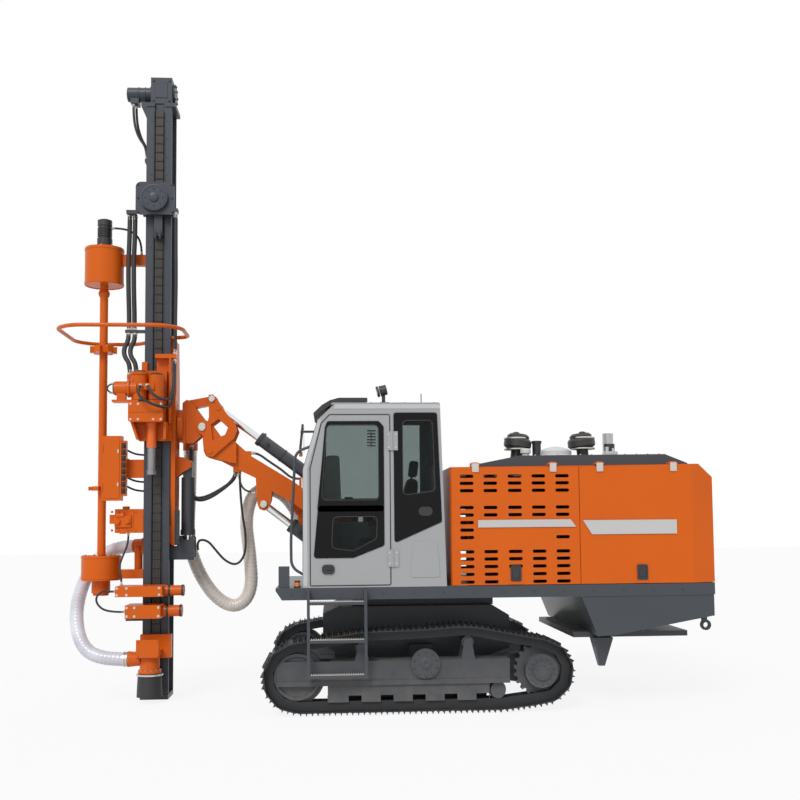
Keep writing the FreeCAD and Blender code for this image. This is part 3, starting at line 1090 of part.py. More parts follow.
# Suction hose from the dust hood to the beam's pipe
FRONT_HOSE = [V(-2705 - 0.3, -250, 465), V(-2990, -250, 465), V(-3230, -160, 600), V(-3345, 60, 960),
              V(-3300, 380, 1340), V(-3070, 470, 1640), V(-2745, 330, 1650)]
front_hose, front_radii = hose(FRONT_HOSE, 74)
save("front_hose", front_hose)
print("front hose arc radii", [round(r) for r in front_radii])
hose_end = FRONT_HOSE[-1]
hose_way = hose_end.sub(FRONT_HOSE[-2]).normalize()
elbow = [box(-2650, BEAM_X0, 160, 262, 1560, 1740),
         bar(hose_end.add(V(hose_way).multiply(GAP)), hose_end.add(V(hose_way).multiply(150)), 80)]
elbow.append(bar(V(-2690, 210, 1335), V(-2690, 210, 1640), 45))
save("dust_hood", Part.makeCompound([dust_hood, join(elbow)]))
# Hydraulic and dust hoses that the machine holds all the way, by the node that groups them
REAR_HOSE = [(75, ((-2160, 470, SOCKET_LOW - GAP), (-2160, 470, 2280), (-2190, 470, 1720),
                   (-2060, 470, 1330),
                   (-1850, 470, 1030), (-1620, 470, 930), (-1450, 470, 1120), (-1480, 470, 1560),
                   (-1535, 470, 1950), (-1430, 450, 2290), (-1140, 425, 2270), (-960, 405, 2070),
                   (-905.1, 405, 1925.3)))]
BOOM_HOSES = [(20, ((-1620, 158 + n * 42, HOSE_CLAMP_LOW - GAP), (-1620, 158 + n * 42, 2390),
                    (-1850, 230 + n * 42, 2215 + n * 14), (-2010, 268 + n * 42, 2150 + n * 14),
                    (-2120, 280 + n * 42, 2190), (-2130, 284 + n * 42, 2420),
                    (-2130, 284 + n * 42, 2790 - GAP)))
              for n in range(3)]
BOOM_HOSES.append((13, ((-1578, 262, HOSE_CLAMP_LOW - GAP), (-1578, 262, 2330), (-1555, 300, 2010),
                        (-1515, 340, 1760), (-1520, 330, 1540), (-1610, 300, 1420), (-1740, 290, 1470),
                        (-1850, 280, 1600), (-1940, 270, 1712), (-2060, 254, 1712),
                        (SLIDE_X + 100, 254, 1600))))
BOOM_HOSES.append((11, ((-1578, 150, HOSE_CLAMP_LOW - GAP), (-1578, 150, 2390), (-1530, 127, 2270),
                        (-1430, 127, 2240),
                        (-1390 - GAP, 127, 2240))))
BOOM_HOSES.append((13, ((-1440 + GAP, 130, 2680), (-1370, 130, 2680), (-1250, 130, 2590),
                        (-1100, 130, 2490),
                        (-985, 128, 2388), (-905 - GAP, 128, 2388))))
CARRIAGE_HOSE = [(26, ((x, -52, CARRIAGE_ARM_Z - GAP), (x, -52, 5100), (x - 12, -54, 4800),
                       (x - 8, -50, 4450),
                       (x, -38, 4200), (x, -38, BRACKET_TOP + GAP))) for x in (-2770, -2712)]
HEAD_HOSES = [(26, ((x, -38, BRACKET_LOW - GAP), (x, -38, 3920), (x - 40, -90, 3830), (x - 30, -130, 3730),
                    (x + 40, -156, 3640), (x + 40, -156, 3520 + GAP))) for x in (-2774, -2706)]
HEAD_HOSES += [(16, ((-2248, y, CARRIAGE_ARM_Z - GAP), (-2248, y, 5000), (-2242, y, 4560), (-2248, y, 4100),
                     (-2248, y, 3745 + GAP))) for y in (-128, -172)]
HEAD_HOSES.append((15, ((-2570, -400 - GAP, 3370), (-2570, -470, 3370), (-2590, -512, 3260),
                        (-2480, -500, 3178),
                        (-2330, -440, 3130), (-2262, -330, 3150), (-2250, -240, 3330), (-2256, -128, 3500),
                        (-2256, -128, 3700 - GAP))))
HEAD_HOSES.append((15, ((-2500, -400 - GAP, 3370), (-2500, -470, 3370), (-2430, -500, 3262),
                        (-2320, -470, 3206),
                        (-2262, -380, 3230), (-2250, -280, 3360), (-2256, -174, 3520),
                        (-2256, -174, 3700 - GAP))))
HEAD_HOSES.append((9, ((-2858 - GAP, -330, 3400), (-2912, -330, 3400), (-2948, -335, 3350),
                       (-2912, -330, 3300),
                       (-2858 - GAP, -330, 3300))))
FEED_HOSES = [(14, ((x, y, BEAM_TOP + 80 - GAP), (x, y, 6460), (x + 50, y, 6260), (-2608, y, 6130),
                    (-2608, y, PORT_TOP + GAP))) for x, y in ((-2760, 45), (-2735, 92))]
FEED_HOSES.append((12, ((-3005 + GAP, 100, 5220), (-2900, 100, 5220), (-2780, 100, 5190),
                        (-2665, 100, 5080),
                        (-2665, 100, 4910 + GAP))))
FEED_HOSES.append((11, ((-2760, -20, 1800 - GAP), (-2760, -20, 1690), (-2800, -100, 1560),
                        (-2830, -190, 1430),
                        (-2790, -230, 1330), (-2790, -230, 1240 + GAP))))
FEED_HOSES.append((11, ((-2820 - GAP, -340, 1185), (-2900, -340, 1185), (-2985, -385, 1190),
                        (-3030, -400, 1100),
                        (-2960, -390, 1000), (-2830, -350, 970), (-2720 - GAP, -350, 970))))
FEED_HOSES += [(11, ((-2870, -75 + GAP, z), (-2870, 0, z), (-2800, 70, z - 50), (-2690, 90, z - 100),
                     (BEAM_X0 - GAP, 90, z - 100))) for z in (2760, 2660, 2560, 2460, 2360)]
CORDS = {"rear_hose": REAR_HOSE, "boom_hoses": BOOM_HOSES, "carriage_hose": CARRIAGE_HOSE,
         "head_hoses": HEAD_HOSES, "feed_hoses": FEED_HOSES}
for name, cords in CORDS.items():
    tubes = []
    for radius, route in cords:
        tube, radii = hose([V(x, y, z) for x, y, z in route], radius)
        tubes.append(tube)
        print(name, "radius", radius, "arc radii", [round(r) for r in radii])
    save(name, Part.makeCompound(tubes))
print("rail and ring arc radii", [round(r) for r in rail_radii], [round(r) for r in guard_radii])
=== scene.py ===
"""Finishes, fittings and studio of a crawler down-the-hole drilling rig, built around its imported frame.

Lengths are metres in the machine's own frame: +X to the rear, +Y to the right side, +Z up.
"""

import json
import logging
import math
from dataclasses import dataclass
from enum import Enum
from typing import Any

import bpy
import numpy as np
from mathutils import Matrix

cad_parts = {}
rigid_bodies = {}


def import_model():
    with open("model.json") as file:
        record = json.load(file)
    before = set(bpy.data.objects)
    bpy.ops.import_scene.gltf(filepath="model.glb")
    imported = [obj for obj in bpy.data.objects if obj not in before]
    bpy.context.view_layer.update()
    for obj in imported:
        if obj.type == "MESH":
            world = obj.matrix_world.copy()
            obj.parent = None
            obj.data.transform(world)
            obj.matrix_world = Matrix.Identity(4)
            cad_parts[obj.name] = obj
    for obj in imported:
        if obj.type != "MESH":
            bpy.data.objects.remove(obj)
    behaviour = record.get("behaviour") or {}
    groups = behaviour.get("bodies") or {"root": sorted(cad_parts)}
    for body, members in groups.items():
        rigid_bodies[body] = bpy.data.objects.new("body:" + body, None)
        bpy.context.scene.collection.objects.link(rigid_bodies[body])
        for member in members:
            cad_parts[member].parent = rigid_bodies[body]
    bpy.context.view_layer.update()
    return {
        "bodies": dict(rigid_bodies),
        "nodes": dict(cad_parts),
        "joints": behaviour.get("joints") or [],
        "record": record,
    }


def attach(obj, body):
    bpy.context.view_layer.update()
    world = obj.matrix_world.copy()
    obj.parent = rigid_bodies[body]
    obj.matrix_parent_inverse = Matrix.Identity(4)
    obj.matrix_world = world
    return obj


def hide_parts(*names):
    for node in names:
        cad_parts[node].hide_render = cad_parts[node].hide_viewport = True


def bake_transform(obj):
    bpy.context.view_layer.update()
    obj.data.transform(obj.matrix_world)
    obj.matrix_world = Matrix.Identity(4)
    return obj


LOG = logging.getLogger("rig")
TURN = 2.0 * math.pi
TINY = 1e-12
Flat = tuple[float, float]
Point = tuple[float, float, float]
Colour = tuple[float, float, float]
Outline = tuple[Flat, ...]
Route = list[Point] | tuple[Point, ...]
Places = list[Point] | np.ndarray
Place = Point | np.ndarray
UP: Point = (0.0, 0.0, 1.0)
DOWN: Point = (0.0, 0.0, -1.0)
LEFT: Point = (0.0, -1.0, 0.0)
RIGHT: Point = (0.0, 1.0, 0.0)
FRONT: Point = (-1.0, 0.0, 0.0)
REAR: Point = (1.0, 0.0, 0.0)


class Body(str, Enum):
    """The moving bodies that pieces ride on."""

    CHASSIS = "chassis"
    DOOR = "cab_door"
    PANEL_LEFT_FRONT = "panel_left_front"
    PANEL_LEFT_REAR = "panel_left_rear"
    PANEL_RIGHT_FRONT = "panel_right_front"
    PANEL_RIGHT_REAR = "panel_right_rear"
    ROCKER = "rocker"
    LIFT_BARREL = "lift_barrel"
    TILT_BARREL = "tilt_barrel"
    BOOM = "boom"
    HOLDER = "feed_holder"
    CRADLE = "feed_cradle"
    BEAM = "feed_beam"
    CARRIAGE = "hose_carriage"
    HEAD = "rotary_head"
    PIPE = "drill_pipe"
    CAROUSEL = "carousel"


class Side(Enum):
    """The machine's sides, by the sign of Y."""

    LEFT = -1
    RIGHT = 1


class Axis(Enum):
    """A direction of extrusion, by its column in a point."""

    X = 0
    Y = 1
    Z = 2


# Surfaces


@dataclass
class Surface:
    """Closed shells: one array of points and, for each count of corners, one array of faces."""

    points: np.ndarray
    faces: dict[int, np.ndarray]

    def __add__(self, other: "Surface") -> "Surface":
        """Both surfaces as one.

        Args:
            other: The second surface, whose face indices move up by this one's points.

        Returns:
            The two together.
        """
        faces = dict(self.faces)
        for count, rows in other.faces.items():
            moved = rows + len(self.points)
            faces[count] = np.concatenate([faces[count], moved]) if count in faces else moved
        return Surface(np.concatenate([self.points, other.points]), faces)

    def volume(self) -> float:
        """Signed volume: a sixth of the sum of every fan triangle's triple product.

        Returns:
            The volume, below zero where the faces point in.
        """
        total = 0.0
        for count, rows in self.faces.items():
            corners = self.points[rows]
            for i in range(1, count - 1):
                square = np.cross(corners[:, i], corners[:, i + 1])
                total += float(np.einsum("ij,ij->", corners[:, 0], square))
        return total / 6.0

    def outward(self) -> "Surface":
        """Turns the faces round where the volume is below zero.

        Returns:
            The same shell with its faces pointing out.
        """
        if self.volume() < 0.0:
            self.faces = {count: rows[:, ::-1] for count, rows in self.faces.items()}
        return self

    def shifted(self, offset: Point) -> "Surface":
        """A copy moved by an offset."""
        return Surface(self.points + np.array(offset), self.faces)

    def turned(self, axis: Axis, degrees: float, about: Point = (0.0, 0.0, 0.0)) -> "Surface":
        """A copy turned about an axis through a point.

        Args:
            axis: The axis of the turn.
            degrees: The angle, right-handed.
            about: A point on the axis.

        Returns:
            The turned copy.
        """
        matrix = np.array(Matrix.Rotation(math.radians(degrees), 3, axis.name))
        centre = np.array(about)
        return Surface((self.points - centre) @ matrix.T + centre, self.faces)

    def copies(self, frames: np.ndarray, places: np.ndarray) -> "Surface":
        """One copy for each frame and place: a point p becomes frame @ p + place.

        Args:
            frames: Rotation matrices, shape (n, 3, 3), or one of shape (3, 3) for all.
            places: Offsets, shape (n, 3).

        Returns:
            All copies as one surface.
        """
        places = np.asarray(places, float)
        frames = np.broadcast_to(frames, (len(places), 3, 3))
        moved = np.einsum("nij,pj->npi", frames, self.points) + places[:, None]
        steps = np.arange(len(places)) * len(self.points)
        faces = {
            count: (rows[None] + steps[:, None, None]).reshape(-1, count)
            for count, rows in self.faces.items()
        }
        return Surface(moved.reshape(-1, 3), faces)


def lattice(rows: np.ndarray, ring: bool = False) -> Surface:
    """A closed shell from outlines laid one after the other.

    Args:
        rows: Points of shape (rows, columns, 3); each row is a closed outline.
        ring: True if the last outline joins the first one, otherwise both ends are capped.

    Returns:
        The shell, facing out.
    """
    count, columns = rows.shape[:2]
    index = np.arange(count * columns).reshape(count, columns)
    low = index if ring else index[:-1]
    high = np.roll(index, -1, 0) if ring else index[1:]
    quads = np.stack([low, np.roll(low, -1, 1), np.roll(high, -1, 1), high], -1).reshape(-1, 4)
    shell = Surface(rows.reshape(-1, 3), {4: quads})
    if not ring:
        caps = np.stack([index[0][::-1], index[-1]])
        shell.faces[columns] = np.concatenate([quads, caps]) if columns == 4 else caps
    return shell.outward()


def joined(parts: list[Surface]) -> Surface:
    """Several surfaces as one."""
    return sum(parts[1:], parts[0])


def unit(vectors: np.ndarray) -> np.ndarray:
    """Vectors scaled to length one."""
    return vectors / np.linalg.norm(vectors, axis=-1, keepdims=True)


def cross(first: np.ndarray, second: np.ndarray) -> np.ndarray:
    """Cross product of flat vectors: x1 * y2 - y1 * x2."""
    return first[..., 0] * second[..., 1] - first[..., 1] * second[..., 0]


def travelled(path: np.ndarray) -> np.ndarray:
    """Distance along a path at each of its points, the running sum of its steps."""
    return np.concatenate([[0.0], np.cumsum(np.linalg.norm(np.diff(path, axis=0), axis=1))])


def resampled(path: np.ndarray, wanted: np.ndarray) -> np.ndarray:
    """The path's points at the wanted distances along it, by linear interpolation."""
    return np.stack([np.interp(wanted, travelled(path), column) for column in path.T], 1)


def evenly(path: np.ndarray, step: float) -> np.ndarray:
    """A path's points at equal distances, about a step apart."""
    length = travelled(path)[-1]
    return resampled(path, np.linspace(0.0, length, max(2, int(length / step) + 1)))


def spread(count: int, phase: float = 0.0) -> np.ndarray:
    """Equal angles round a full turn, the first one at a phase counted in steps."""
    return (np.arange(count) + phase) * TURN / count


def on_circle(angles: np.ndarray, radius: float, centre: Flat = (0.0, 0.0)) -> np.ndarray:
    """Flat points: centre + radius * (cos, sin) of each angle."""
    return np.stack([np.cos(angles), np.sin(angles)], 1) * radius + np.array(centre)


def rounded(corners: Outline, radius: float, steps: int = 5) -> np.ndarray:
    """A closed flat outline whose corners are arcs tangent to both sides.

    An arc's centre lies on its corner's bisector, and no arc takes more than 0.48 of a side.

    Args:
        corners: The corners in order.
        radius: The arcs' radius, less where a side is short.
        steps: Spans in each arc.

    Returns:
        Points of shape (corners * (steps + 1), 2).
    """
    at = np.array(corners, float)
    before = np.roll(at, 1, 0) - at
    after = np.roll(at, -1, 0) - at
    into, out = unit(before), unit(after)
    half = np.arccos(np.clip((into * out).sum(1), -1.0, 1.0)) / 2.0
    room = 0.48 * np.minimum(np.linalg.norm(before, axis=1), np.linalg.norm(after, axis=1))
    back = np.minimum(radius / np.tan(half), room)
    arc_radius = back * np.tan(half)
    middle = at + unit(into + out) * (arc_radius / np.sin(half))[:, None]
    start = at + into * back[:, None] - middle
    end = at + out * back[:, None] - middle
    share = np.linspace(0.0, 1.0, steps + 1)[None, :, None]
    blend = unit(start[:, None] * (1.0 - share) + end[:, None] * share + TINY)
    return (middle[:, None] + blend * arc_radius[:, None, None]).reshape(-1, 2)


def rectangle(low: Flat, high: Flat, radius: float, steps: int = 5) -> np.ndarray:
    """A rectangle between two of its corners, all four rounded."""
    return rounded((low, (high[0], low[1]), high, (low[0], high[1])), radius, steps)


def inset(outline: np.ndarray, by: float) -> np.ndarray:
    """An outline with each corner moved in along its mitre.

    A corner moves by (n1 + n2) / (1 + n1 . n2) times the distance, n1 and n2 being its sides' inward normals.

    Args:
        outline: The corners in order.
        by: Distance from each side; below zero moves outward.

    Returns:
        The moved corners.
    """
    edge = unit(np.roll(outline, -1, 0) - outline + TINY)
    inward = math.copysign(1.0, float(cross(outline, np.roll(outline, -1, 0)).sum()))
    normal = np.stack([-edge[:, 1], edge[:, 0]], 1) * inward
    earlier = np.roll(normal, 1, 0)
    sharpest = 0.35
    mitre = np.maximum(1.0 + (earlier * normal).sum(1, keepdims=True), sharpest)
    return outline + (earlier + normal) / mitre * by


def laid(outline: np.ndarray, axis: Axis, at: float) -> np.ndarray:
    """A flat outline as points in space, at a place along the axis that it faces."""
    return np.insert(outline, axis.value, at, axis=1)


def prism(outline: np.ndarray, axis: Axis, low: float, high: float, chamfer: float = 0.0) -> Surface:
    """An outline carried along an axis, with its edges chamfered.

    Args:
        outline: Corners in the two other axes, in their order.
        axis: The direction of extrusion.
        low: Where it starts.
        high: Where it ends.
        chamfer: Width of the chamfer along both ends.

    Returns:
        The closed shell.
    """
    outline = np.asarray(outline, float)
    if chamfer <= 0.0:
        return lattice(np.stack([laid(outline, axis, low), laid(outline, axis, high)]))
    small = inset(outline, chamfer)
    rows = [(small, low), (outline, low + chamfer), (outline, high - chamfer), (small, high)]
    return lattice(np.stack([laid(shape, axis, at) for shape, at in rows]))


def block(low: Point, high: Point, chamfer: float = 0.003) -> Surface:
    """A rectangular block with chamfered edges."""
    return prism(rectangle(low[:2], high[:2], chamfer, 1), Axis.Z, low[2], high[2], chamfer)


def frame_of(direction: Place) -> np.ndarray:
    """A rotation matrix whose third column is a direction.

    The first column is square to it and to the axis that it leans on least, the second to both.

    Args:
        direction: Any vector but zero.

    Returns:
        The matrix, shape (3, 3).
    """
    main = unit(np.array(direction, float))
    helper = np.eye(3)[int(np.argmin(np.abs(main)))]
    first = unit(np.cross(helper, main))
    return np.stack([first, np.cross(main, first), main], 1)


def revolved(profile: list[Flat], foot: Place, direction: Place, sides: int = 32) -> Surface:
    """A profile of radius and height, turned about a line: foot + frame @ (r cos, r sin, h).

    Args:
        profile: Radius and height pairs, from one end to the other.
        foot: The point of height zero.
        direction: The line's direction.
        sides: Steps in the turn.

    Returns:
        The closed shell.
    """
    shape = np.array(profile, float)
    smallest = 0.0002
    rows = np.zeros((len(shape), sides, 3))
    rows[..., :2] = on_circle(spread(sides), 1.0)[None] * np.maximum(shape[:, None, :1], smallest)
    rows[..., 2] = shape[:, None, 1]
    return lattice(rows @ frame_of(direction).T + np.array(foot))


def bar(start: Point, end: Point, radius: float, sides: int = 16, chamfer: float = 0.0) -> Surface:
    """A round bar between two points.

    Args:
        start: Middle of its first end.
        end: Middle of its last end.
        radius: Its radius.
        sides: Steps in the turn.
        chamfer: Width of the chamfer at both ends.

    Returns:
        The closed shell.
    """
    run = np.array(end, float) - np.array(start, float)
    length = float(np.linalg.norm(run))
    inner = radius - chamfer
    profile = [(inner, 0.0), (radius, chamfer), (radius, length - chamfer), (inner, length)]
    return revolved(profile, start, tuple(run), sides)


def collar(radius: float, lift: float, heights: Point, foot: Place, way: Place, sides: int = 40) -> Surface:
    """A raised band round a line, whose profile goes out from the radius by the lift and back.

    Args:
        radius: Radius that the band sits on.
        lift: How far it stands out.
        heights: Where its face begins, where it ends, and the whole width.
        foot: The point of height zero.
        way: The line's direction.
        sides: Steps in the turn.

    Returns:
        The closed band.
    """
    begin, end, width = heights
    return revolved([(radius, 0.0), (radius + lift, begin), (radius + lift, end), (radius, width)], foot, way, sides)


def tube(path: np.ndarray, radius: np.ndarray) -> Surface:
    """A round tube about a path: centre + radius * (cos * first + sin * second).

    The cross directions come from the path's own best plane, so they never lie along the path.

    Args:
        path: The centre line, shape (n, 3).
        radius: The radius at each point and angle, shape (n, sides).

    Returns:
        The closed tube.
    """
    tangent = unit(np.gradient(path, axis=0))
    first = unit(np.cross(tangent, np.linalg.svd(path - path.mean(0))[2][2]))
    second = np.cross(first, tangent)
    angle = spread(radius.shape[1])[None, :, None]
    across = np.cos(angle) * first[:, None] + np.sin(angle) * second[:, None]
    return lattice(path[:, None] + across * radius[..., None])


def reach(rays: np.ndarray, outline: np.ndarray) -> np.ndarray:
    """Distance along each ray from the origin to an outline round it.

    A ray meets the edge from a to b at cross(a, b - a) / cross(ray, b - a), where that is positive and
    the meeting lies within the edge.

    Args:
        rays: Directions of length one, shape (n, 2).
        outline: The corners, shape (m, 2).

    Returns:
        The farthest meeting on each ray.
    """
    slack = 1e-4
    edge = np.roll(outline, -1, 0) - outline
    base = cross(rays[:, None], edge[None])
    base = np.where(np.abs(base) < TINY, TINY, base)
    distance = cross(outline, edge)[None] / base
    share = cross(outline[None], rays[:, None]) / base
    good = (share > -slack) & (share < 1.0 + slack) & (distance > 0.0)
    return np.where(good, distance, 0.0).max(1)


def window_ring(outer: np.ndarray, inner: np.ndarray, axis: Axis, low: float, high: float) -> Surface:
    """A flat plate between two outlines, cut on rays from the inner one's middle to every corner.

    Args:
        outer: The plate's outer edge.
        inner: Its inner edge.
        axis: The direction that the plate faces.
        low: Where it starts along the axis.
        high: Where it ends.

    Returns:
        The closed ring.
    """
    centre = inner.mean(0)
    both = np.concatenate([outer, inner]) - centre
    angles = np.unique(np.round(np.arctan2(both[:, 1], both[:, 0]), 5))
    rays = on_circle(angles, 1.0)
    wide = rays * reach(rays, outer - centre)[:, None] + centre
    narrow = rays * reach(rays, inner - centre)[:, None] + centre
    rows = [(wide, low), (wide, high), (narrow, high), (narrow, low)]
    return lattice(np.stack([laid(shape, axis, at) for shape, at in rows]), ring=True)


def bead(outline: np.ndarray, out: float, into: float, low: float, high: float) -> Surface:
    """A strip along an outline that faces Y, from a distance outside it to a distance inside it."""
    return window_ring(inset(outline, -out), inset(outline, into), Axis.Y, low, high)


def grid(xs: Any, ys: Any, zs: Any) -> np.ndarray:
    """Every place that combines one coordinate from each list."""
    return np.array([(x, y, z) for x in xs for y in ys for z in zs], float)


def round_places(centre: Point, radius: float, angles: np.ndarray, axis: Axis = Axis.Z) -> np.ndarray:
    """Places on a circle that faces along an axis."""
    return laid(on_circle(angles, radius), axis, 0.0) + np.array(centre)


def hex_bolts(places: Places, direction: Point, size: float = 0.012) -> Surface:
    """Hexagon heads on washers, each profile given in heads' half widths.

    Args:
        places: Middles of the faces that they sit on.
        direction: The way that the heads point.
        size: Half the width across a head.

    Returns:
        All bolts as one surface.
    """
    origin = (0.0, 0.0, 0.0)
    washer = revolved([(size * 1.35, 0.0), (size * 1.35, size * 0.2)], origin, UP, 12)
    head = revolved([(size * 1.1, size * 0.2), (size * 1.1, size * 0.85), (size * 0.9, size)], origin, UP, 6)
    return (washer + head).copies(frame_of(direction), places)


@dataclass(frozen=True)
class HoseEnd:
    """A crimped hexagon sleeve: its lip's and neck's radius over the hose, and their heights along it."""

    lip: float
    neck: float
    heights: tuple[float, float, float, float]
    root: float = 0.003

    def at(self, rows: list[tuple[Point, Point, float]]) -> Surface:
        """A sleeve in each place.

        Args:
            rows: Foot, direction and hose radius of each.

        Returns:
            All sleeves as one surface.
        """
        begin, end, shoulder, top = self.heights
        steps = [(self.root, 0.0), (self.lip, begin), (self.lip, end), (self.neck, shoulder), (self.neck, top)]
        return joined([revolved([(r + out, h) for out, h in steps], foot, way, 6) for foot, way, r in rows])


BOOM_END = HoseEnd(0.005, 0.0015, (0.004, 0.022, 0.026, 0.05))
BEAM_END = HoseEnd(0.0045, 0.0012, (0.003, 0.018, 0.021, 0.042))
CARRIAGE_END = HoseEnd(0.0045, 0.0012, (0.003, 0.022, 0.025, 0.06))
HEAD_END = HoseEnd(0.005, 0.0012, (0.003, 0.022, 0.025, 0.055))
DUCT_BAND: tuple[float, float, Point] = (0.0765, 0.003, (0.002, 0.016, 0.018))


# Finishes


class Signal:
    """A value in a material's graph, whose arithmetic adds Math nodes."""

    def __init__(self, graph: "Graph", socket: bpy.types.NodeSocket) -> None:
        """Wraps one output socket."""
        self.graph = graph
        self.socket = socket

    def _maths(self, operation: str, first: Any, second: Any) -> "Signal":
        """One Math node on two values."""
        step = self.graph.node("ShaderNodeMath", {"operation": operation}, {"Value": first, "Value_001": second})
        return step["Value"]

    def __add__(self, other: Any) -> "Signal":
        """The sum."""
        return self._maths("ADD", self, other)

    def __sub__(self, other: Any) -> "Signal":
        """The difference."""
        return self._maths("SUBTRACT", self, other)

    def __rsub__(self, other: Any) -> "Signal":
        """The difference, this one second."""
        return self._maths("SUBTRACT", other, self)

    def __mul__(self, other: Any) -> "Signal":
        """The product."""
        return self._maths("MULTIPLY", self, other)

    def __pow__(self, other: Any) -> "Signal":
        """The power."""
        return self._maths("POWER", self, other)

    __radd__ = __add__
    __rmul__ = __mul__

    def clamped(self) -> "Signal":
        """The value held between 0 and 1."""
        step = self.graph.node("ShaderNodeClamp", {}, {"Value": self})
        return step["Result"]


class Step:
    """A node whose outputs are read by name."""

    def __init__(self, graph: "Graph", node: bpy.types.Node) -> None:
        """Wraps one node."""
        self.graph = graph
        self.made = node

    def __getitem__(self, name: str) -> Signal:
        """The output of that name or identifier."""
        found = [s for s in self.made.outputs if name in (s.identifier, s.name) and s.enabled]
        return Signal(self.graph, found[0])


class Graph:
    """The node tree of one material or of the world."""

    def __init__(self, owner: bpy.types.Material | bpy.types.World, output: str) -> None:
        """Empties the owner's tree but for its output node."""
        owner.use_nodes = True
        self.owner = owner
        self.tree = owner.node_tree
        self.tree.nodes.clear()
        self.output = self.tree.nodes.new(output)

    @classmethod
    def of(cls, name: str) -> "Graph":
        """The graph of a new material."""
        return cls(bpy.data.materials.new(name), "ShaderNodeOutputMaterial")

    def node(self, kind: str, settings: dict[str, Any], values: dict[str, Any]) -> Step:
        """Adds a node.

        Args:
            kind: The node's type.
            settings: Its own settings, set first.
            values: Numbers, colours or signals for its sockets, by name or identifier.

        Returns:
            The node, ready for its outputs to be read.
        """
        made = self.tree.nodes.new(kind)
        for key, value in settings.items():
            setattr(made, key, value)
        for key, value in values.items():
            socket = [s for s in made.inputs if key in (s.identifier, s.name) and s.enabled][0]
            if isinstance(value, Signal):
                self.tree.links.new(value.socket, socket)
            elif isinstance(value, tuple) and len(value) == 3 and socket.type == "RGBA":
                socket.default_value = (*value, 1.0)
            else:
                socket.default_value = value
        return Step(self, made)

    def place(self) -> Signal:
        """Where a point lies in the machine's frame at rest."""
        return self.node("ShaderNodeTexCoord", {}, {})["Object"]

    def height(self) -> Signal:
        """How high a point lies over the ground at rest."""
        return self.node("ShaderNodeSeparateXYZ", {}, {"Vector": self.place()})["Z"]

    def facing_up(self) -> Signal:
        """How much a surface faces up, from -1 to 1, on the piece at rest."""
        normal = self.node("ShaderNodeTexCoord", {}, {})["Normal"]
        return self.node("ShaderNodeSeparateXYZ", {}, {"Vector": normal})["Z"]

    def noise(self, scale: float, detail: float = 2.0, roughness: float = 0.5) -> Signal:
        """Noise from 0 to 1 in the machine's frame, scale being features in a metre."""
        values = {"Vector": self.place(), "Scale": scale, "Detail": detail, "Roughness": roughness}
        return self.node("ShaderNodeTexNoise", {}, values)["Fac"]

    def mix(self, factor: Signal, first: Any, second: Any) -> Signal:
        """A colour between two colours."""
        values = {"Factor_Float": factor, "A_Color": first, "B_Color": second}
        return self.node("ShaderNodeMix", {"data_type": "RGBA"}, values)["Result_Color"]

    def bump(self, height: Signal, distance: float, strength: float = 1.0) -> Signal:
        """A normal bent by a height, distance being the height's size in metres."""
        values = {"Height": height, "Distance": distance, "Strength": strength}
        return self.node("ShaderNodeBump", {}, values)["Normal"]

    def principled(self, values: dict[str, Any]) -> Step:
        """The general surface shader."""
        return self.node("ShaderNodeBsdfPrincipled", {}, values)

    def blended(self, share: Signal, first: Step, second: Step) -> Step:
        """Two shaders mixed by a share.

        Args:
            share: How much of the second one shows.
            first: The shader at share 0.
            second: The shader at share 1.

        Returns:
            The mixing node.
        """
        both = self.node("ShaderNodeMixShader", {}, {"Fac": share})
        for socket, shader in zip(both.made.inputs[1:], (first, second)):
            self.tree.links.new(shader.made.outputs[0], socket)
        return both

    def finish(self, shader: Step) -> Any:
        """Joins a shader to the output and gives the material or world."""
        self.tree.links.new(shader.made.outputs[0], self.output.inputs["Surface"])
        return self.owner


@dataclass(frozen=True)
class Finish:
    """What a surface is made of. Its material is made once, when first used."""

    name: str
    colour: Colour
    slot: str
    roughness: float = 0.4

    def build(self) -> bpy.types.Material:
        """Makes the material."""
        raise NotImplementedError

    def material(self) -> bpy.types.Material:
        """The material, made when it is first asked for."""
        return bpy.data.materials.get(self.name) or self.build()


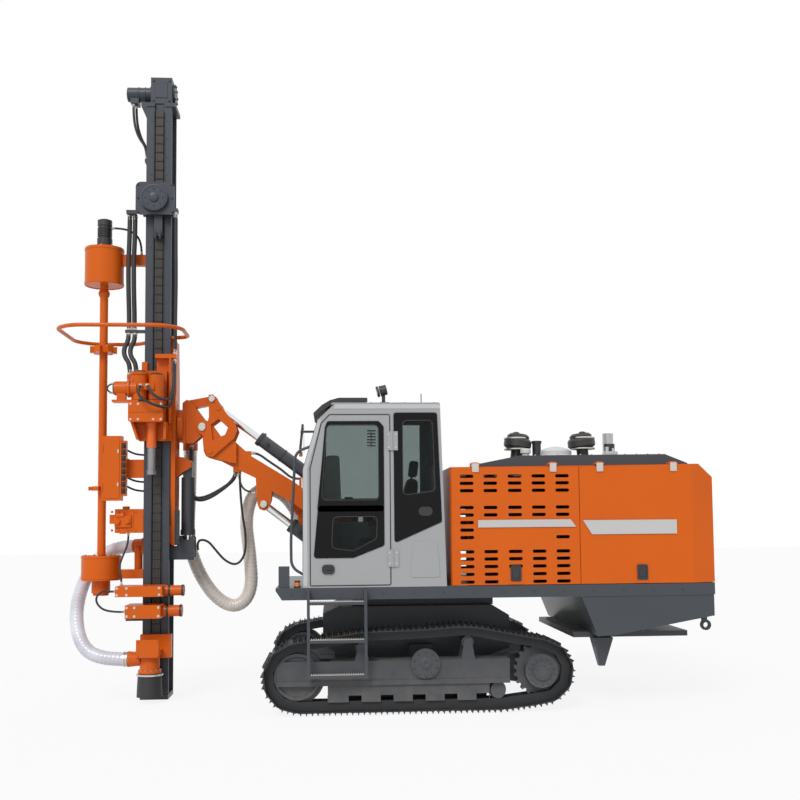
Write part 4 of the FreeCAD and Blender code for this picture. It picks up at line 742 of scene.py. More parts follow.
@dataclass(frozen=True)
class Paint(Finish):
    """Sprayed paint: faint drift of colour, orange peel, and dust where it faces up or lies low."""

    dust: float = 0.25
    dust_colour: Colour = (0.42, 0.39, 0.35)
    coat: float = 0.25
    coat_roughness: float = 0.12
    drift: float = 0.10
    shine: float = 0.40
    peel_depth: float = 0.0006
    noises: tuple[Flat, ...] = ((1.3, 4.0), (160.0, 2.0), (420.0, 1.0), (2.6, 1.0))

    def soil(self, graph: Graph) -> Signal:
        """Dust from 0 to 1: streaky noise where the surface faces up or lies near the ground.

        Args:
            graph: The material's graph.

        Returns:
            The share of dust.
        """
        streak = graph.noise(7.0, 5.0, 0.65)
        low = (1.0 - graph.height() * 1.1).clamped() ** 2.0
        lying = ((graph.facing_up() - 0.25) * 1.4).clamped()
        return ((lying * 0.55 + low * 0.5) * (streak * 1.7 - 0.25) * (self.dust * 2.0)).clamped()

    def build(self) -> bpy.types.Material:
        """Broad noise moves the colour, dust covers it, and fine noises make the orange peel.

        Returns:
            The material.
        """
        graph = Graph.of(self.name)
        broad, fine, peel, dent = (graph.noise(*row) for row in self.noises)
        soil = self.soil(graph)
        deep, pale = (tuple(c * side for c in self.colour) for side in (1.0 - self.drift, 1.0 + self.drift))
        bend = graph.bump(peel * 0.35 + fine * 0.25 + dent * 4.0, self.peel_depth)
        return graph.finish(graph.principled({
            "Base Color": graph.mix(soil, graph.mix(broad, deep, pale), self.dust_colour),
            "Roughness": (fine * 0.10 + broad * 0.10 + soil * 0.35 + (self.roughness - 0.10)).clamped(),
            "Normal": bend, "Coat Weight": self.coat, "Coat Roughness": self.coat_roughness,
            "Specular IOR Level": self.shine,
        }))


@dataclass(frozen=True)
class Metal(Finish):
    """Bare or cast metal: metallic, with fine grain and patches of grease or rust."""

    metallic: float = 1.0
    grain: float = 220.0
    grain_depth: float = 0.0004
    patch: float = 0.3
    patch_colour: Colour = (0.05, 0.045, 0.04)

    def coats(self, graph: Graph, worn: Signal) -> tuple[Signal, Signal]:
        """Colour and metallic share, both lowered towards the patches."""
        return graph.mix(worn, self.colour, self.patch_colour), (1.0 - worn) * self.metallic

    def build(self) -> bpy.types.Material:
        """Patches follow broad noise; roughness and bump follow the grain.

        Returns:
            The material.
        """
        graph = Graph.of(self.name)
        grain = graph.noise(self.grain, 3.0)
        worn = ((graph.noise(5.0, 5.0, 0.6) - 0.45) * 3.0).clamped() * self.patch
        colour, metallic = self.coats(graph, worn)
        return graph.finish(graph.principled({
            "Base Color": colour, "Metallic": metallic,
            "Roughness": (grain * 0.16 + worn * 0.4 + (self.roughness - 0.08)).clamped(),
            "Normal": graph.bump(grain, self.grain_depth),
        }))


@dataclass(frozen=True)
class DrillSteel(Metal):
    """The drill string: painted shank above, bare steel pipe below a height."""

    paint: Colour = (0.80, 0.145, 0.016)
    joint_height: float = 2.713
    sharpness: float = 400.0

    def coats(self, graph: Graph, worn: Signal) -> tuple[Signal, Signal]:
        """Paint above the joint, worn steel below it.

        Args:
            graph: The material's graph.
            worn: The share of patches.

        Returns:
            Colour and metallic share.
        """
        above = ((graph.height() - self.joint_height) * self.sharpness).clamped()
        steel = graph.mix(worn, self.colour, self.patch_colour)
        return graph.mix(above, steel, self.paint), ((1.0 - above) * self.metallic).clamped()


@dataclass(frozen=True)
class Plastic(Finish):
    """Moulded plastic or rubber: pebbled grain and a little pale bloom."""

    grain: float = 500.0
    depth: float = 0.0003
    bloom: float = 0.06

    def build(self) -> bpy.types.Material:
        """Colour is lifted by bloom noise; the grain is cells of the given size.

        Returns:
            The material.
        """
        graph = Graph.of(self.name)
        cloud = graph.noise(9.0, 4.0, 0.6)
        cells = graph.node("ShaderNodeTexVoronoi", {}, {"Vector": graph.place(), "Scale": self.grain})["Distance"]
        pale = tuple(c + (0.5 - c) * 0.35 for c in self.colour)
        return graph.finish(graph.principled({
            "Base Color": graph.mix((cloud * (self.bloom * 2.0)).clamped(), self.colour, pale),
            "Roughness": (cloud * 0.15 + (self.roughness - 0.07)).clamped(),
            "Normal": graph.bump(cells, self.depth),
        }))


@dataclass(frozen=True)
class Glass(Finish):
    """Thin pane: mostly see-through, tinted, glossy at a slant, with faint haze."""

    clear: float = 0.75
    reflecting: Colour = (0.05, 0.055, 0.06)

    def build(self) -> bpy.types.Material:
        """A mix of a tinted see-through shader and a glossy coat, by Fresnel and haze.

        Returns:
            The material.
        """
        graph = Graph.of(self.name)
        haze = graph.noise(3.0, 4.0, 0.6)
        fresnel = graph.node("ShaderNodeFresnel", {}, {"IOR": 1.5})["Fac"]
        see = graph.node("ShaderNodeBsdfTransparent", {}, {"Color": self.colour})
        body = graph.principled({
            "Base Color": self.reflecting, "Roughness": (haze * 0.05 + 0.02).clamped(), "Coat Weight": 0.4,
        })
        share = (fresnel + haze * 0.04 + (1.0 - self.clear)).clamped()
        return graph.finish(graph.blended(share, see, body))


@dataclass(frozen=True)
class HosePlastic(Finish):
    """Soft translucent plastic hose: milky walls with faint clouds and a glossy outside."""

    shade: Colour = (0.5, 0.48, 0.45)

    def build(self) -> bpy.types.Material:
        """Milky colour drifts by two noises; the wall lets some light through.

        Returns:
            The material.
        """
        graph = Graph.of(self.name)
        cloud = graph.noise(6.0, 3.0)
        blot = ((graph.noise(2.2, 4.0, 0.6) - 0.42) * 3.0).clamped()
        return graph.finish(graph.principled({
            "Base Color": graph.mix((cloud * 0.35 + blot * 0.5).clamped(), self.colour, self.shade),
            "Roughness": (cloud * 0.12 + self.roughness).clamped(),
            "Alpha": (1.0 - blot * 0.22).clamped(), "Coat Weight": 0.35, "Coat Roughness": 0.1,
            "Normal": graph.bump(graph.noise(60.0, 2.0), 0.001),
        }))


@dataclass(frozen=True)
class Cloth(Finish):
    """Woven seat cloth: two crossed waves of thread, with sheen."""

    thread: float = 900.0

    def build(self) -> bpy.types.Material:
        """The weave is the product of two thread waves across each other.

        Returns:
            The material.
        """
        graph = Graph.of(self.name)
        values = {"Vector": graph.place(), "Scale": self.thread / TURN, "Distortion": 0.4}
        warp, weft = (graph.node("ShaderNodeTexWave", {"bands_direction": way}, values)["Fac"] for way in "XZ")
        weave = warp * weft
        cloud = graph.noise(12.0, 3.0)
        light = tuple(c * 1.8 + 0.01 for c in self.colour)
        return graph.finish(graph.principled({
            "Base Color": graph.mix((weave * 0.6 + cloud * 0.3).clamped(), self.colour, light),
            "Roughness": (cloud * 0.1 + self.roughness).clamped(),
            "Normal": graph.bump(weave, 0.0006), "Sheen Weight": 0.3,
        }))


ORANGE = Paint("orange_enamel", (0.68, 0.118, 0.004), "orange_paint", 0.38, dust=0.08, coat=0.1, shine=0.2)
FRAME = Paint("frame_enamel", (0.046, 0.051, 0.060), "frame_grey", 0.48, dust=0.32, coat=0.1)
DECK = Paint("deck_enamel", (0.048, 0.057, 0.068), "deck_grey", 0.44, dust=0.16, coat=0.15)
CAB = Paint("cab_enamel", (0.365, 0.375, 0.385), "cab_grey", 0.38, dust=0.06, coat=0.2, drift=0.03)
CAB_TRIM = Paint("cab_trim_enamel", (0.52, 0.53, 0.545), "cab_grey", 0.34, dust=0.05, coat=0.3, drift=0.03)
BEAM_PAINT = Paint("beam_enamel", (0.040, 0.047, 0.062), "beam_grey", 0.46, dust=0.14, coat=0.1)
DECAL = Paint("pale_stripe", (0.55, 0.55, 0.54), "orange_paint", 0.42, dust=0.06, coat=0.2, drift=0.03)
SHOE = Metal("shoe_steel", (0.030, 0.032, 0.036), "track_steel", 0.55, metallic=0.35, grain=90.0, patch=0.6)
CHAIN = Metal("chain_steel", (0.050, 0.046, 0.044), "track_steel", 0.42, metallic=0.7, grain=140.0, patch=0.6)
STEEL = Metal("plain_steel", (0.52, 0.52, 0.52), "bright_steel", 0.34, patch=0.25, patch_colour=(0.25, 0.23, 0.21))
ZINC = Metal("zinc_steel", (0.62, 0.60, 0.55), "bright_steel", 0.3, patch=0.3, patch_colour=(0.4, 0.35, 0.25))
TREAD = Metal("tread_steel", (0.55, 0.53, 0.48), "bright_steel", 0.42, metallic=0.7, patch=0.35,
              patch_colour=(0.30, 0.26, 0.20))
CHROME = Metal("rod_chrome", (0.78, 0.79, 0.80), "chrome_rod", 0.14, grain=400.0, patch=0.1)
IRON = Metal("engine_cast", (0.045, 0.045, 0.048), "engine_iron", 0.6, metallic=0.3, patch=0.4)
PIPE_STEEL = DrillSteel("drill_steel", (0.30, 0.31, 0.33), "bright_steel", 0.38, metallic=0.8)
RUBBER = Plastic("black_rubber", (0.014, 0.014, 0.015), "rubber", 0.55, grain=300.0)
SEAL = Plastic("seal_rubber", (0.012, 0.012, 0.013), "rubber", 0.5, grain=700.0, depth=0.0001)
BLACK = Plastic("black_moulding", (0.016, 0.016, 0.018), "black_plastic", 0.42)
GREY_PLASTIC = Plastic("grey_moulding", (0.20, 0.21, 0.22), "black_plastic", 0.5)
PALE_PLASTIC = Plastic("pale_moulding", (0.66, 0.67, 0.68), "black_plastic", 0.4, grain=300.0, depth=0.0001)
GLOSS_BLACK = Paint("glass_border", (0.004, 0.004, 0.005), "tinted_glass", 0.22, dust=0.0, coat=0.0, drift=0.0,
                    shine=0.18)
PANE = Glass("pane_glass", (0.68, 0.72, 0.71), "tinted_glass", 0.05, clear=0.97)
FRONT_HOSE_WALL = HosePlastic("front_hose_wall", (0.80, 0.80, 0.86), "clear_hose", 0.22, shade=(0.52, 0.52, 0.60))
REAR_HOSE_WALL = HosePlastic("rear_hose_wall", (0.80, 0.74, 0.68), "clear_hose", 0.25, shade=(0.55, 0.48, 0.42))
CLOTH = Cloth("seat_cloth", (0.020, 0.020, 0.022), "seat_fabric", 0.85)
AMBER = Plastic("amber_lens", (0.75, 0.20, 0.01), "orange_paint", 0.2, grain=120.0, depth=0.0005, bloom=0.0)
LENS = Metal("lamp_lens", (0.75, 0.76, 0.78), "bright_steel", 0.12, patch=0.0)


# Putting pieces in the scene


def as_mesh(name: str, surface: Surface) -> bpy.types.Mesh:
    """A mesh with the surface's points and faces.

    Args:
        name: The mesh's name.
        surface: The shells.

    Returns:
        The new mesh.
    """
    counts = np.concatenate([np.full(len(rows), count) for count, rows in surface.faces.items()])
    corners = np.concatenate([rows.ravel() for rows in surface.faces.values()]).astype(np.int32)
    mesh = bpy.data.meshes.new(name)
    mesh.vertices.add(len(surface.points))
    mesh.vertices.foreach_set("co", surface.points.astype(np.float32).ravel())
    mesh.loops.add(len(corners))
    mesh.loops.foreach_set("vertex_index", corners)
    mesh.polygons.add(len(counts))
    mesh.polygons.foreach_set("loop_start", np.concatenate([[0], np.cumsum(counts)[:-1]]).astype(np.int32))
    mesh.update(calc_edges=True)
    mesh.validate()
    return mesh


def add_piece(
    name: str,
    surface: Surface,
    finish: Finish,
    body: Body | None,
    smooth: float = 32.0,
    replaces: tuple[str, ...] = (),
) -> bpy.types.Object:
    """Puts a surface in the scene as one piece of the machine.

    Args:
        name: The piece's name.
        surface: Its shells.
        finish: What it is made of.
        body: The moving body that it rides on, or None where it runs between two.
        smooth: Edges flatter than this many degrees are shaded smooth.
        replaces: Nodes of the frame that it stands for.

    Returns:
        The new object.
    """
    mesh = as_mesh(name, surface)
    mesh.polygons.foreach_set("use_smooth", np.ones(len(mesh.polygons), bool))
    mesh.set_sharp_from_angle(angle=math.radians(smooth))
    made = bpy.data.objects.new(name, mesh)
    bpy.context.scene.collection.objects.link(made)
    mesh.materials.append(finish.material())
    if body is not None:
        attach(made, body.value)
    if replaces:
        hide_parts(*replaces)
    LOG.info("%s: %d points", name, len(surface.points))
    return made


def smooth_line(points: Route, resolution: int = 12) -> np.ndarray:
    """The points of a NURBS line of order three.

    Args:
        points: Its control points; it starts at the first and ends at the last.
        resolution: Points in each of its spans.

    Returns:
        The line's points, shape (n, 3).
    """
    curve = bpy.data.curves.new("route", "CURVE")
    curve.dimensions = "3D"
    spline = curve.splines.new("NURBS")
    spline.points.add(len(points) - 1)
    spline.points.foreach_set("co", np.insert(np.array(points, float), 3, 1.0, axis=1).ravel())
    spline.order_u = 3
    spline.use_endpoint_u = True
    spline.resolution_u = resolution
    holder = bpy.data.objects.new("route", curve)
    mesh = bpy.data.meshes.new_from_object(holder)
    found = np.zeros(len(mesh.vertices) * 3)
    mesh.vertices.foreach_get("co", found)
    bpy.data.meshes.remove(mesh)
    bpy.data.objects.remove(holder)
    bpy.data.curves.remove(curve)
    return found.reshape(-1, 3)


# Hoses


@dataclass
class Hose:
    """One round hose along its own smooth line.

    With a rib step, its wall is a spiral of crests; a hose that runs to a second body rides on none.
    """

    name: str
    node: str
    body: Body
    radius: float
    route: Route
    finish: Finish = RUBBER
    bends_to: Body | None = None
    span: tuple[Point, Point] = ((0.0, 0.0, 0.0), UP)
    ribs: float = 0.0
    crest: float = 0.032
    widest_cord: float = 0.06

    def skin(self, path: np.ndarray) -> np.ndarray:
        """Radius at each point and angle: radius * (1 - crest * (1 - cos(phase)) / 2) on a ribbed hose.

        The phase takes a turn round the hose and a turn for each rib along it.

        Args:
            path: The hose's line.

        Returns:
            The radii, shape (points, sides).
        """
        if self.ribs <= 0.0:
            return np.full((len(path), 12), self.radius)
        phase = TURN * travelled(path)[:, None] / self.ribs - spread(20)[None]
        return self.radius * (1.0 - self.crest * (0.5 - 0.5 * np.cos(phase)))

    def build(self) -> bpy.types.Object:
        """Returns:
            The new piece.
        """
        step = self.ribs / 6.0 if self.ribs > 0.0 else max(0.012, self.radius * 0.9)
        path = evenly(smooth_line(self.route), step)
        rides = self.body if self.bends_to is None else None
        made = add_piece(self.name, tube(path, self.skin(path)), self.finish, rides, 60.0, (self.node,))
        if self.bends_to is not None:
            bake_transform(made)
        if self.radius < self.widest_cord:
            2.0 * self.radius
        return made


@dataclass
class Hoses:
    """Every hose of the machine, with the bodies at both of its ends."""

    front: Route = (
        (-2.7053, -0.25, 0.465), (-2.99, -0.25, 0.465), (-3.23, -0.16, 0.60), (-3.345, 0.06, 0.96),
        (-3.30, 0.38, 1.34), (-3.07, 0.47, 1.64), (-2.745, 0.33, 1.65),
    )
    rear: Route = (
        (-2.16, 0.47, 2.7347), (-2.16, 0.47, 2.28), (-2.19, 0.47, 1.72), (-2.06, 0.47, 1.33),
        (-1.85, 0.47, 1.03), (-1.62, 0.47, 0.93), (-1.45, 0.47, 1.12), (-1.48, 0.47, 1.56),
        (-1.535, 0.47, 1.95), (-1.43, 0.45, 2.29), (-1.14, 0.425, 2.27), (-0.96, 0.405, 2.07),
        (-0.9051, 0.405, 1.9253),
    )
    duct_ribs: float = 0.042
    tip_span: tuple[Point, Point] = ((-1.55, 0.45, 2.1), (-2.1, 0.45, 2.1))
    carriage_span: tuple[Point, Point] = ((-2.74, -0.05, 5.25), (-2.74, -0.05, 4.15))
    head_span: tuple[Point, Point] = ((-2.74, -0.1, 3.62), (-2.74, -0.1, 3.98))
    long_span: tuple[Point, Point] = ((-2.25, -0.15, 3.85), (-2.25, -0.15, 5.2))

    def build_boom(self) -> None:
        """Hoses along the boom's underside and over its tip."""
        tip = {"bends_to": Body.HOLDER, "span": self.tip_span}
        for i in range(3):
            side, lift = 0.042 * i, 0.014 * i
            route = [
                (-1.62, 0.158 + side, 2.4697), (-1.62, 0.158 + side, 2.39), (-1.85, 0.23 + side, 2.215 + lift),
                (-2.01, 0.268 + side, 2.15 + lift), (-2.12, 0.28 + side, 2.19), (-2.13, 0.284 + side, 2.42),
                (-2.13, 0.284 + side, 2.7897),
            ]
            Hose(f"boom_hose_{i + 1}", "boom_hoses", Body.BOOM, 0.020, route, **tip).build()
        Hose("boom_hose_4", "boom_hoses", Body.BOOM, 0.013, [
            (-1.578, 0.262, 2.4697), (-1.578, 0.262, 2.33), (-1.555, 0.30, 2.01), (-1.515, 0.34, 1.76),
            (-1.52, 0.33, 1.54), (-1.61, 0.30, 1.42), (-1.74, 0.29, 1.47), (-1.85, 0.28, 1.60),
            (-1.94, 0.27, 1.712), (-2.06, 0.254, 1.712), (-2.04, 0.254, 1.60),
        ], **tip).build()
        Hose("boom_hose_5", "boom_hoses", Body.BOOM, 0.011, [
            (-1.578, 0.15, 2.4697), (-1.578, 0.15, 2.39), (-1.53, 0.127, 2.27), (-1.43, 0.127, 2.24),
            (-1.3903, 0.127, 2.24),
        ]).build()
        Hose("boom_hose_6", "boom_hoses", Body.BOOM, 0.013, [
            (-1.4397, 0.13, 2.68), (-1.37, 0.13, 2.68), (-1.25, 0.13, 2.59), (-1.10, 0.13, 2.49),
            (-0.985, 0.128, 2.388), (-0.9053, 0.128, 2.388),
        ]).build()

    def build_carriage(self) -> None:
        """The two hoses from the carriage's arm down to the beam's bracket."""
        for i, x in enumerate((-2.77, -2.712)):
            route = [
                (x, -0.052, 5.3297), (x, -0.052, 5.10), (x - 0.012, -0.054, 4.80), (x - 0.008, -0.05, 4.45),
                (x, -0.038, 4.20), (x, -0.038, 4.0353),
            ]
            Hose(f"carriage_hose_{i + 1}", "carriage_hose", Body.CARRIAGE, 0.026, route,
                 bends_to=Body.BEAM, span=self.carriage_span).build()

    def build_head(self) -> None:
        """The hoses of the rotary head: to the bracket, to the carriage and between its own motors."""
        for i, x in enumerate((-2.774, -2.706)):
            route = [
                (x, -0.038, 4.0047), (x, -0.038, 3.92), (x - 0.04, -0.09, 3.83), (x - 0.03, -0.13, 3.73),
                (x + 0.04, -0.156, 3.64), (x + 0.04, -0.156, 3.5203),
            ]
            Hose(f"head_hose_{i + 1}", "head_hoses", Body.HEAD, 0.026, route,
                 bends_to=Body.BEAM, span=self.head_span).build()
        for i, y in enumerate((-0.128, -0.172)):
            route = [(-2.248, y, 5.3297), (-2.248, y, 5.0), (-2.242, y, 4.56), (-2.248, y, 4.1), (-2.248, y, 3.7453)]
            Hose(f"head_hose_{i + 3}", "head_hoses", Body.HEAD, 0.016, route,
                 bends_to=Body.BEAM, span=self.long_span).build()
        loops = [
            (0.015, [
                (-2.57, -0.4003, 3.37), (-2.57, -0.47, 3.37), (-2.59, -0.512, 3.26), (-2.48, -0.50, 3.178),
                (-2.33, -0.44, 3.13), (-2.262, -0.33, 3.15), (-2.25, -0.24, 3.33), (-2.256, -0.128, 3.50),
                (-2.256, -0.128, 3.6997),
            ]),
            (0.015, [
                (-2.50, -0.4003, 3.37), (-2.50, -0.47, 3.37), (-2.43, -0.50, 3.262), (-2.32, -0.47, 3.206),
                (-2.262, -0.38, 3.23), (-2.25, -0.28, 3.36), (-2.256, -0.174, 3.52), (-2.256, -0.174, 3.6997),
            ]),
            (0.009, [
                (-2.8583, -0.33, 3.40), (-2.912, -0.33, 3.40), (-2.948, -0.335, 3.35), (-2.912, -0.33, 3.30),
                (-2.8583, -0.33, 3.30),
            ]),
        ]
        for i, (radius, route) in enumerate(loops):
            Hose(f"head_hose_{i + 5}", "head_hoses", Body.HEAD, radius, route).build()

    def build_feed(self) -> None:
        """The hoses that stay on the beam."""
        routes = [
            (0.014, [(x, y, 6.6397), (x, y, 6.46), (x + 0.05, y, 6.26), (-2.608, y, 6.13), (-2.608, y, 6.0003)])
            for x, y in ((-2.76, 0.045), (-2.735, 0.092))
        ]
        routes += [
            (0.012, [(-3.0047, 0.1, 5.22), (-2.90, 0.1, 5.22), (-2.78, 0.1, 5.19), (-2.665, 0.1, 5.08),
                     (-2.665, 0.1, 4.9103)]),
            (0.011, [(-2.76, -0.02, 1.7997), (-2.76, -0.02, 1.69), (-2.80, -0.1, 1.56), (-2.83, -0.19, 1.43),
                     (-2.79, -0.23, 1.33), (-2.79, -0.23, 1.2403)]),
            (0.011, [(-2.8203, -0.34, 1.185), (-2.90, -0.34, 1.185), (-2.985, -0.385, 1.19), (-3.03, -0.4, 1.1),
                     (-2.96, -0.39, 1.0), (-2.83, -0.35, 0.97), (-2.7203, -0.35, 0.97)]),
        ]
        routes += [
            (0.011, [(-2.87, -0.0747, z), (-2.87, 0.0, z), (-2.80, 0.07, z - 0.05), (-2.69, 0.09, z - 0.1),
                     (-2.5903, 0.09, z - 0.1)])
            for z in (2.76, 2.66, 2.56, 2.46, 2.36)
        ]
        for i, (radius, route) in enumerate(routes):
            Hose(f"feed_hose_{i + 1}", "feed_hoses", Body.BEAM, radius, route).build()

    def build(self) -> None:
        """Makes every hose."""
        Hose("front_duct", "front_hose", Body.BEAM, 0.074, self.front, FRONT_HOSE_WALL, ribs=self.duct_ribs).build()
        Hose("rear_duct", "rear_hose", Body.BOOM, 0.075, self.rear, REAR_HOSE_WALL,
             bends_to=Body.HOLDER, span=self.tip_span, ribs=self.duct_ribs).build()
        self.build_boom()
        self.build_carriage()
        self.build_head()
        self.build_feed()


# Cab


def soft(value: np.ndarray, power: float) -> np.ndarray:
    """The value's size raised to a power, with its sign."""
    return np.sign(value) * np.abs(value) ** power


def pillow(low: Point, high: Point, square: float = 0.35, crown: float = 0.12, turns: int = 48) -> Surface:
    """A crowned cushion: a superellipsoid whose middle swells and whose sides pull in at a seam.

    A point is centre + half size * (sign(c) |c|**square) for the cosines and sines of two angles, and a
    narrow dip runs round at half height.

    Args:
        low: Its lowest corner.
        high: Its highest corner.
        square: How square it is, from 0, a block, to 1, an ellipsoid.
        crown: How much of its height the corners lie under the middle.
        turns: Steps round it.

    Returns:
        The closed cushion.
    """
    low, high = np.array(low), np.array(high)
    pole, seam_depth, seam_width = 1.52, 0.03, 0.10
    rise = np.clip(np.linspace(-0.5, 0.5, turns // 2 + 1)[:, None] * math.pi, -pole, pole)
    around = spread(turns)[None]
    ring = soft(np.cos(rise), square) * (1.0 - seam_depth * np.exp(-((rise / seam_width) ** 2)))
    x, y = ring * soft(np.cos(around), square), ring * soft(np.sin(around), square)
    z = soft(np.sin(rise), square) * (1.0 - crown * 0.5 * (x ** 2 + y ** 2))
    return lattice(np.stack([x, y, z], -1) * (high - low) / 2.0 + (high + low) / 2.0)


@dataclass
class Cab:
    """The cab's glass borders, seals, lamps, mirror, door furniture and inside."""

    face: float = -1.22
    glass_face: float = -1.2262
    upper_light: Outline = ((-0.645, 2.115), (-0.590, 2.865), (-0.075, 2.865), (-0.075, 2.115))
    upper_border: Outline = ((-0.6895, 2.0), (-0.607, 2.838), (-0.584, 2.900), (-0.072, 2.900), (-0.026, 2.848),
                             (-0.026, 2.0))
    lower_light: Outline = ((-0.545, 1.64), (-0.53, 1.95), (-0.09, 1.95), (-0.10, 1.73), (-0.33, 1.61))
    lower_border: Outline = ((-0.718, 1.546), (-0.672, 2.06), (-0.026, 2.06), (-0.026, 1.664), (-0.331, 1.546))
    rear_clear: Outline = ((0.168, 2.16), (0.168, 2.91), (0.468, 2.91), (0.492, 2.20))
    rear_border: Outline = ((0.084, 1.688), (0.084, 2.984), (0.514, 2.984), (0.552, 1.894))
    door_line: Outline = ((-0.752, 1.275), (-0.752, 2.43), (-0.64, 2.88), (-0.56, 2.965), (0.035, 2.965),
                          (0.035, 1.275))
    pressed: Outline = ((0.236, 1.338), (0.262, 1.700), (0.510, 1.700), (0.536, 1.338))
    roof_edge: Outline = ((-0.520, 3.028), (-0.505, 3.074), (0.546, 3.074), (0.552, 3.028))
    pillar: Outline = ((-0.826, 1.262), (-0.826, 2.424), (-0.676, 2.922), (-0.640, 2.922), (-0.784, 2.424),
                       (-0.784, 1.262))
    column: Outline = ((-0.64, 2.06), (-0.60, 2.60), (-0.46, 2.60), (-0.44, 2.06))
    light_radius: float = 0.045
    small_radius: float = 0.04
    hinge_bolts: tuple[float, ...] = (1.48, 1.59, 2.64, 2.77)
    vent_rows: int = 6
    vent_step: float = 0.030

    def clears(self) -> tuple[np.ndarray, np.ndarray, np.ndarray]:
        """Outlines of the clear parts of the door's upper and lower panes and of the rear pane."""
        return (rounded(self.upper_light, self.light_radius), rounded(self.lower_light, self.small_radius),
                rounded(self.rear_clear, self.small_radius))

    def borders(self) -> None:
        """Black enamel round the clear parts of the door's and the rear panes."""
        span = (self.glass_face - 0.0022, self.glass_face + 0.0002)
        upper, lower, rear = self.clears()
        rings = window_ring(rounded(self.upper_border, 0.028), upper, Axis.Y, *span)
        rings = rings + window_ring(rounded(self.lower_border, 0.028), lower, Axis.Y, *span)
        add_piece("door_border", rings, GLOSS_BLACK, Body.DOOR)
        ring = window_ring(rounded(self.rear_border, 0.024), rear, Axis.Y, *span)
        add_piece("rear_pane_border", ring, GLOSS_BLACK, Body.CHASSIS)

    def seals(self) -> None:
        """Rubber beads round each clear part and round the door."""
        span = (self.glass_face - 0.0045, self.glass_face - 0.001)
        upper, _, rear = self.clears()
        lower = rounded(self.lower_light, self.light_radius)
        beads = bead(upper, 0.004, 0.004, *span) + bead(lower, 0.004, 0.004, *span)
        add_piece("door_seals", beads, SEAL, Body.DOOR)
        frame = bead(rounded(self.door_line, 0.012), 0.011, -0.001, self.face - 0.0022, self.face + 0.004)
        add_piece("cab_seals", bead(rear, 0.004, 0.004, *span) + frame, SEAL, Body.CHASSIS)

    def furniture(self) -> None:
        """Door handle, hinge bolts, vent bars and the blank oval plate."""
        face, proud = self.face, self.face - 0.0185
        plate = prism(rectangle((-0.642, 1.384), (-0.518, 1.476), 0.035), Axis.Y, proud, face - 0.0005, 0.003)
        lever = block((-0.612, face - 0.034, 1.424), (-0.536, proud, 1.444), 0.004)
        lock = revolved([(0.012, 0.0), (0.012, 0.004), (0.009, 0.006)], (-0.555, proud, 1.402), LEFT, 20)
        add_piece("door_handle", plate + lever + lock, BLACK, Body.DOOR)
        for name, x, lift, body in (("door", 0.028, 0.014, Body.DOOR), ("cab", 0.100, 0.012, Body.CHASSIS)):
            bolts = hex_bolts(grid([x], [face - lift], self.hinge_bolts), LEFT, 0.007)
            add_piece(f"{name}_hinge_bolts", bolts, ZINC, body)
        rise = self.vent_step * np.arange(self.vent_rows)
        slat = block((-0.188, -1.210, 2.652), (-0.100, -1.196, 2.666), 0.003)
        bars = slat.copies(np.eye(3), grid([0.0], [0.0], rise))
        spine = block((-0.150, -1.200, 2.648), (-0.138, -1.192, 2.822), 0.002)
        add_piece("door_vent", bars + spine, PALE_PLASTIC, Body.DOOR)
        oval, pane = rectangle((0.322, 1.952), (0.462, 2.042), 0.044), self.glass_face
        cup = window_ring(oval, inset(oval, 0.012), Axis.Y, pane - 0.009, pane - 0.002)
        cup = cup + prism(inset(oval, 0.011), Axis.Y, pane - 0.005, pane - 0.0022, 0.001)
        add_piece("pane_handle", cup, BLACK, Body.CHASSIS)

    def shell(self) -> None:
        """Pressed panel, pale roof edge, pillar trim and the roof's screws."""
        panel = prism(rounded(self.pressed, 0.03), Axis.Y, self.face - 0.006, self.face + 0.002, 0.004)
        add_piece("cab_pressed_panel", panel, CAB, Body.CHASSIS)
        edge = rounded(self.roof_edge, 0.008)
        rim = prism(edge, Axis.Y, self.face - 0.005, self.face + 0.001, 0.002)
        right = prism(edge, Axis.Y, -0.251, -0.245, 0.002)
        strip = prism(rounded(self.pillar, 0.006), Axis.Y, self.face - 0.004, self.face + 0.001, 0.0015)
        add_piece("cab_edge_trim", rim + right + strip, CAB_TRIM, Body.CHASSIS)
        screw = bar((0.0, 0.0, 3.094), (0.0, 0.0, 3.102), 0.010, 12, 0.002)
        screws = screw.copies(np.eye(3), grid((-0.48, -0.14, 0.20, 0.50), (-1.165, -0.305), [0.0]))
        add_piece("roof_screws", screws, ZINC, Body.CHASSIS)

    def lamps(self) -> None:
        """The roof lamp's lens with its rim, the mirror glass and the amber lenses."""
        aim = np.array([-0.97, 0.0, -0.24])
        foot = tuple(np.array([-0.04, -1.08, 3.225]) + aim * 0.018)
        rim = revolved([(0.052, 0.0), (0.056, 0.004), (0.056, 0.022), (0.050, 0.024), (0.047, 0.010)], foot, aim, 32)
        add_piece("roof_lamp_rim", rim, BLACK, Body.CHASSIS)
        lens = revolved([(0.046, 0.008), (0.046, 0.014), (0.036, 0.020), (0.016, 0.023)], foot, aim, 32)
        add_piece("roof_lamp_lens", lens, LENS, Body.CHASSIS)
        glass = rectangle((-1.149, 2.608), (-1.011, 2.876), 0.03)
        add_piece("mirror_glass", prism(glass, Axis.X, -0.8225, -0.8195, 0.001), CHROME, Body.CHASSIS)
        amber = block((-0.868, -1.153, 2.558), (-0.834, -1.087, 2.602), 0.006)
        dome = revolved([(0.029, 0.0), (0.029, 0.045), (0.022, 0.062), (0.008, 0.070)], (-0.888, -1.15, 1.252), UP, 24)
        add_piece("amber_lenses", amber + dome, AMBER, Body.CHASSIS)

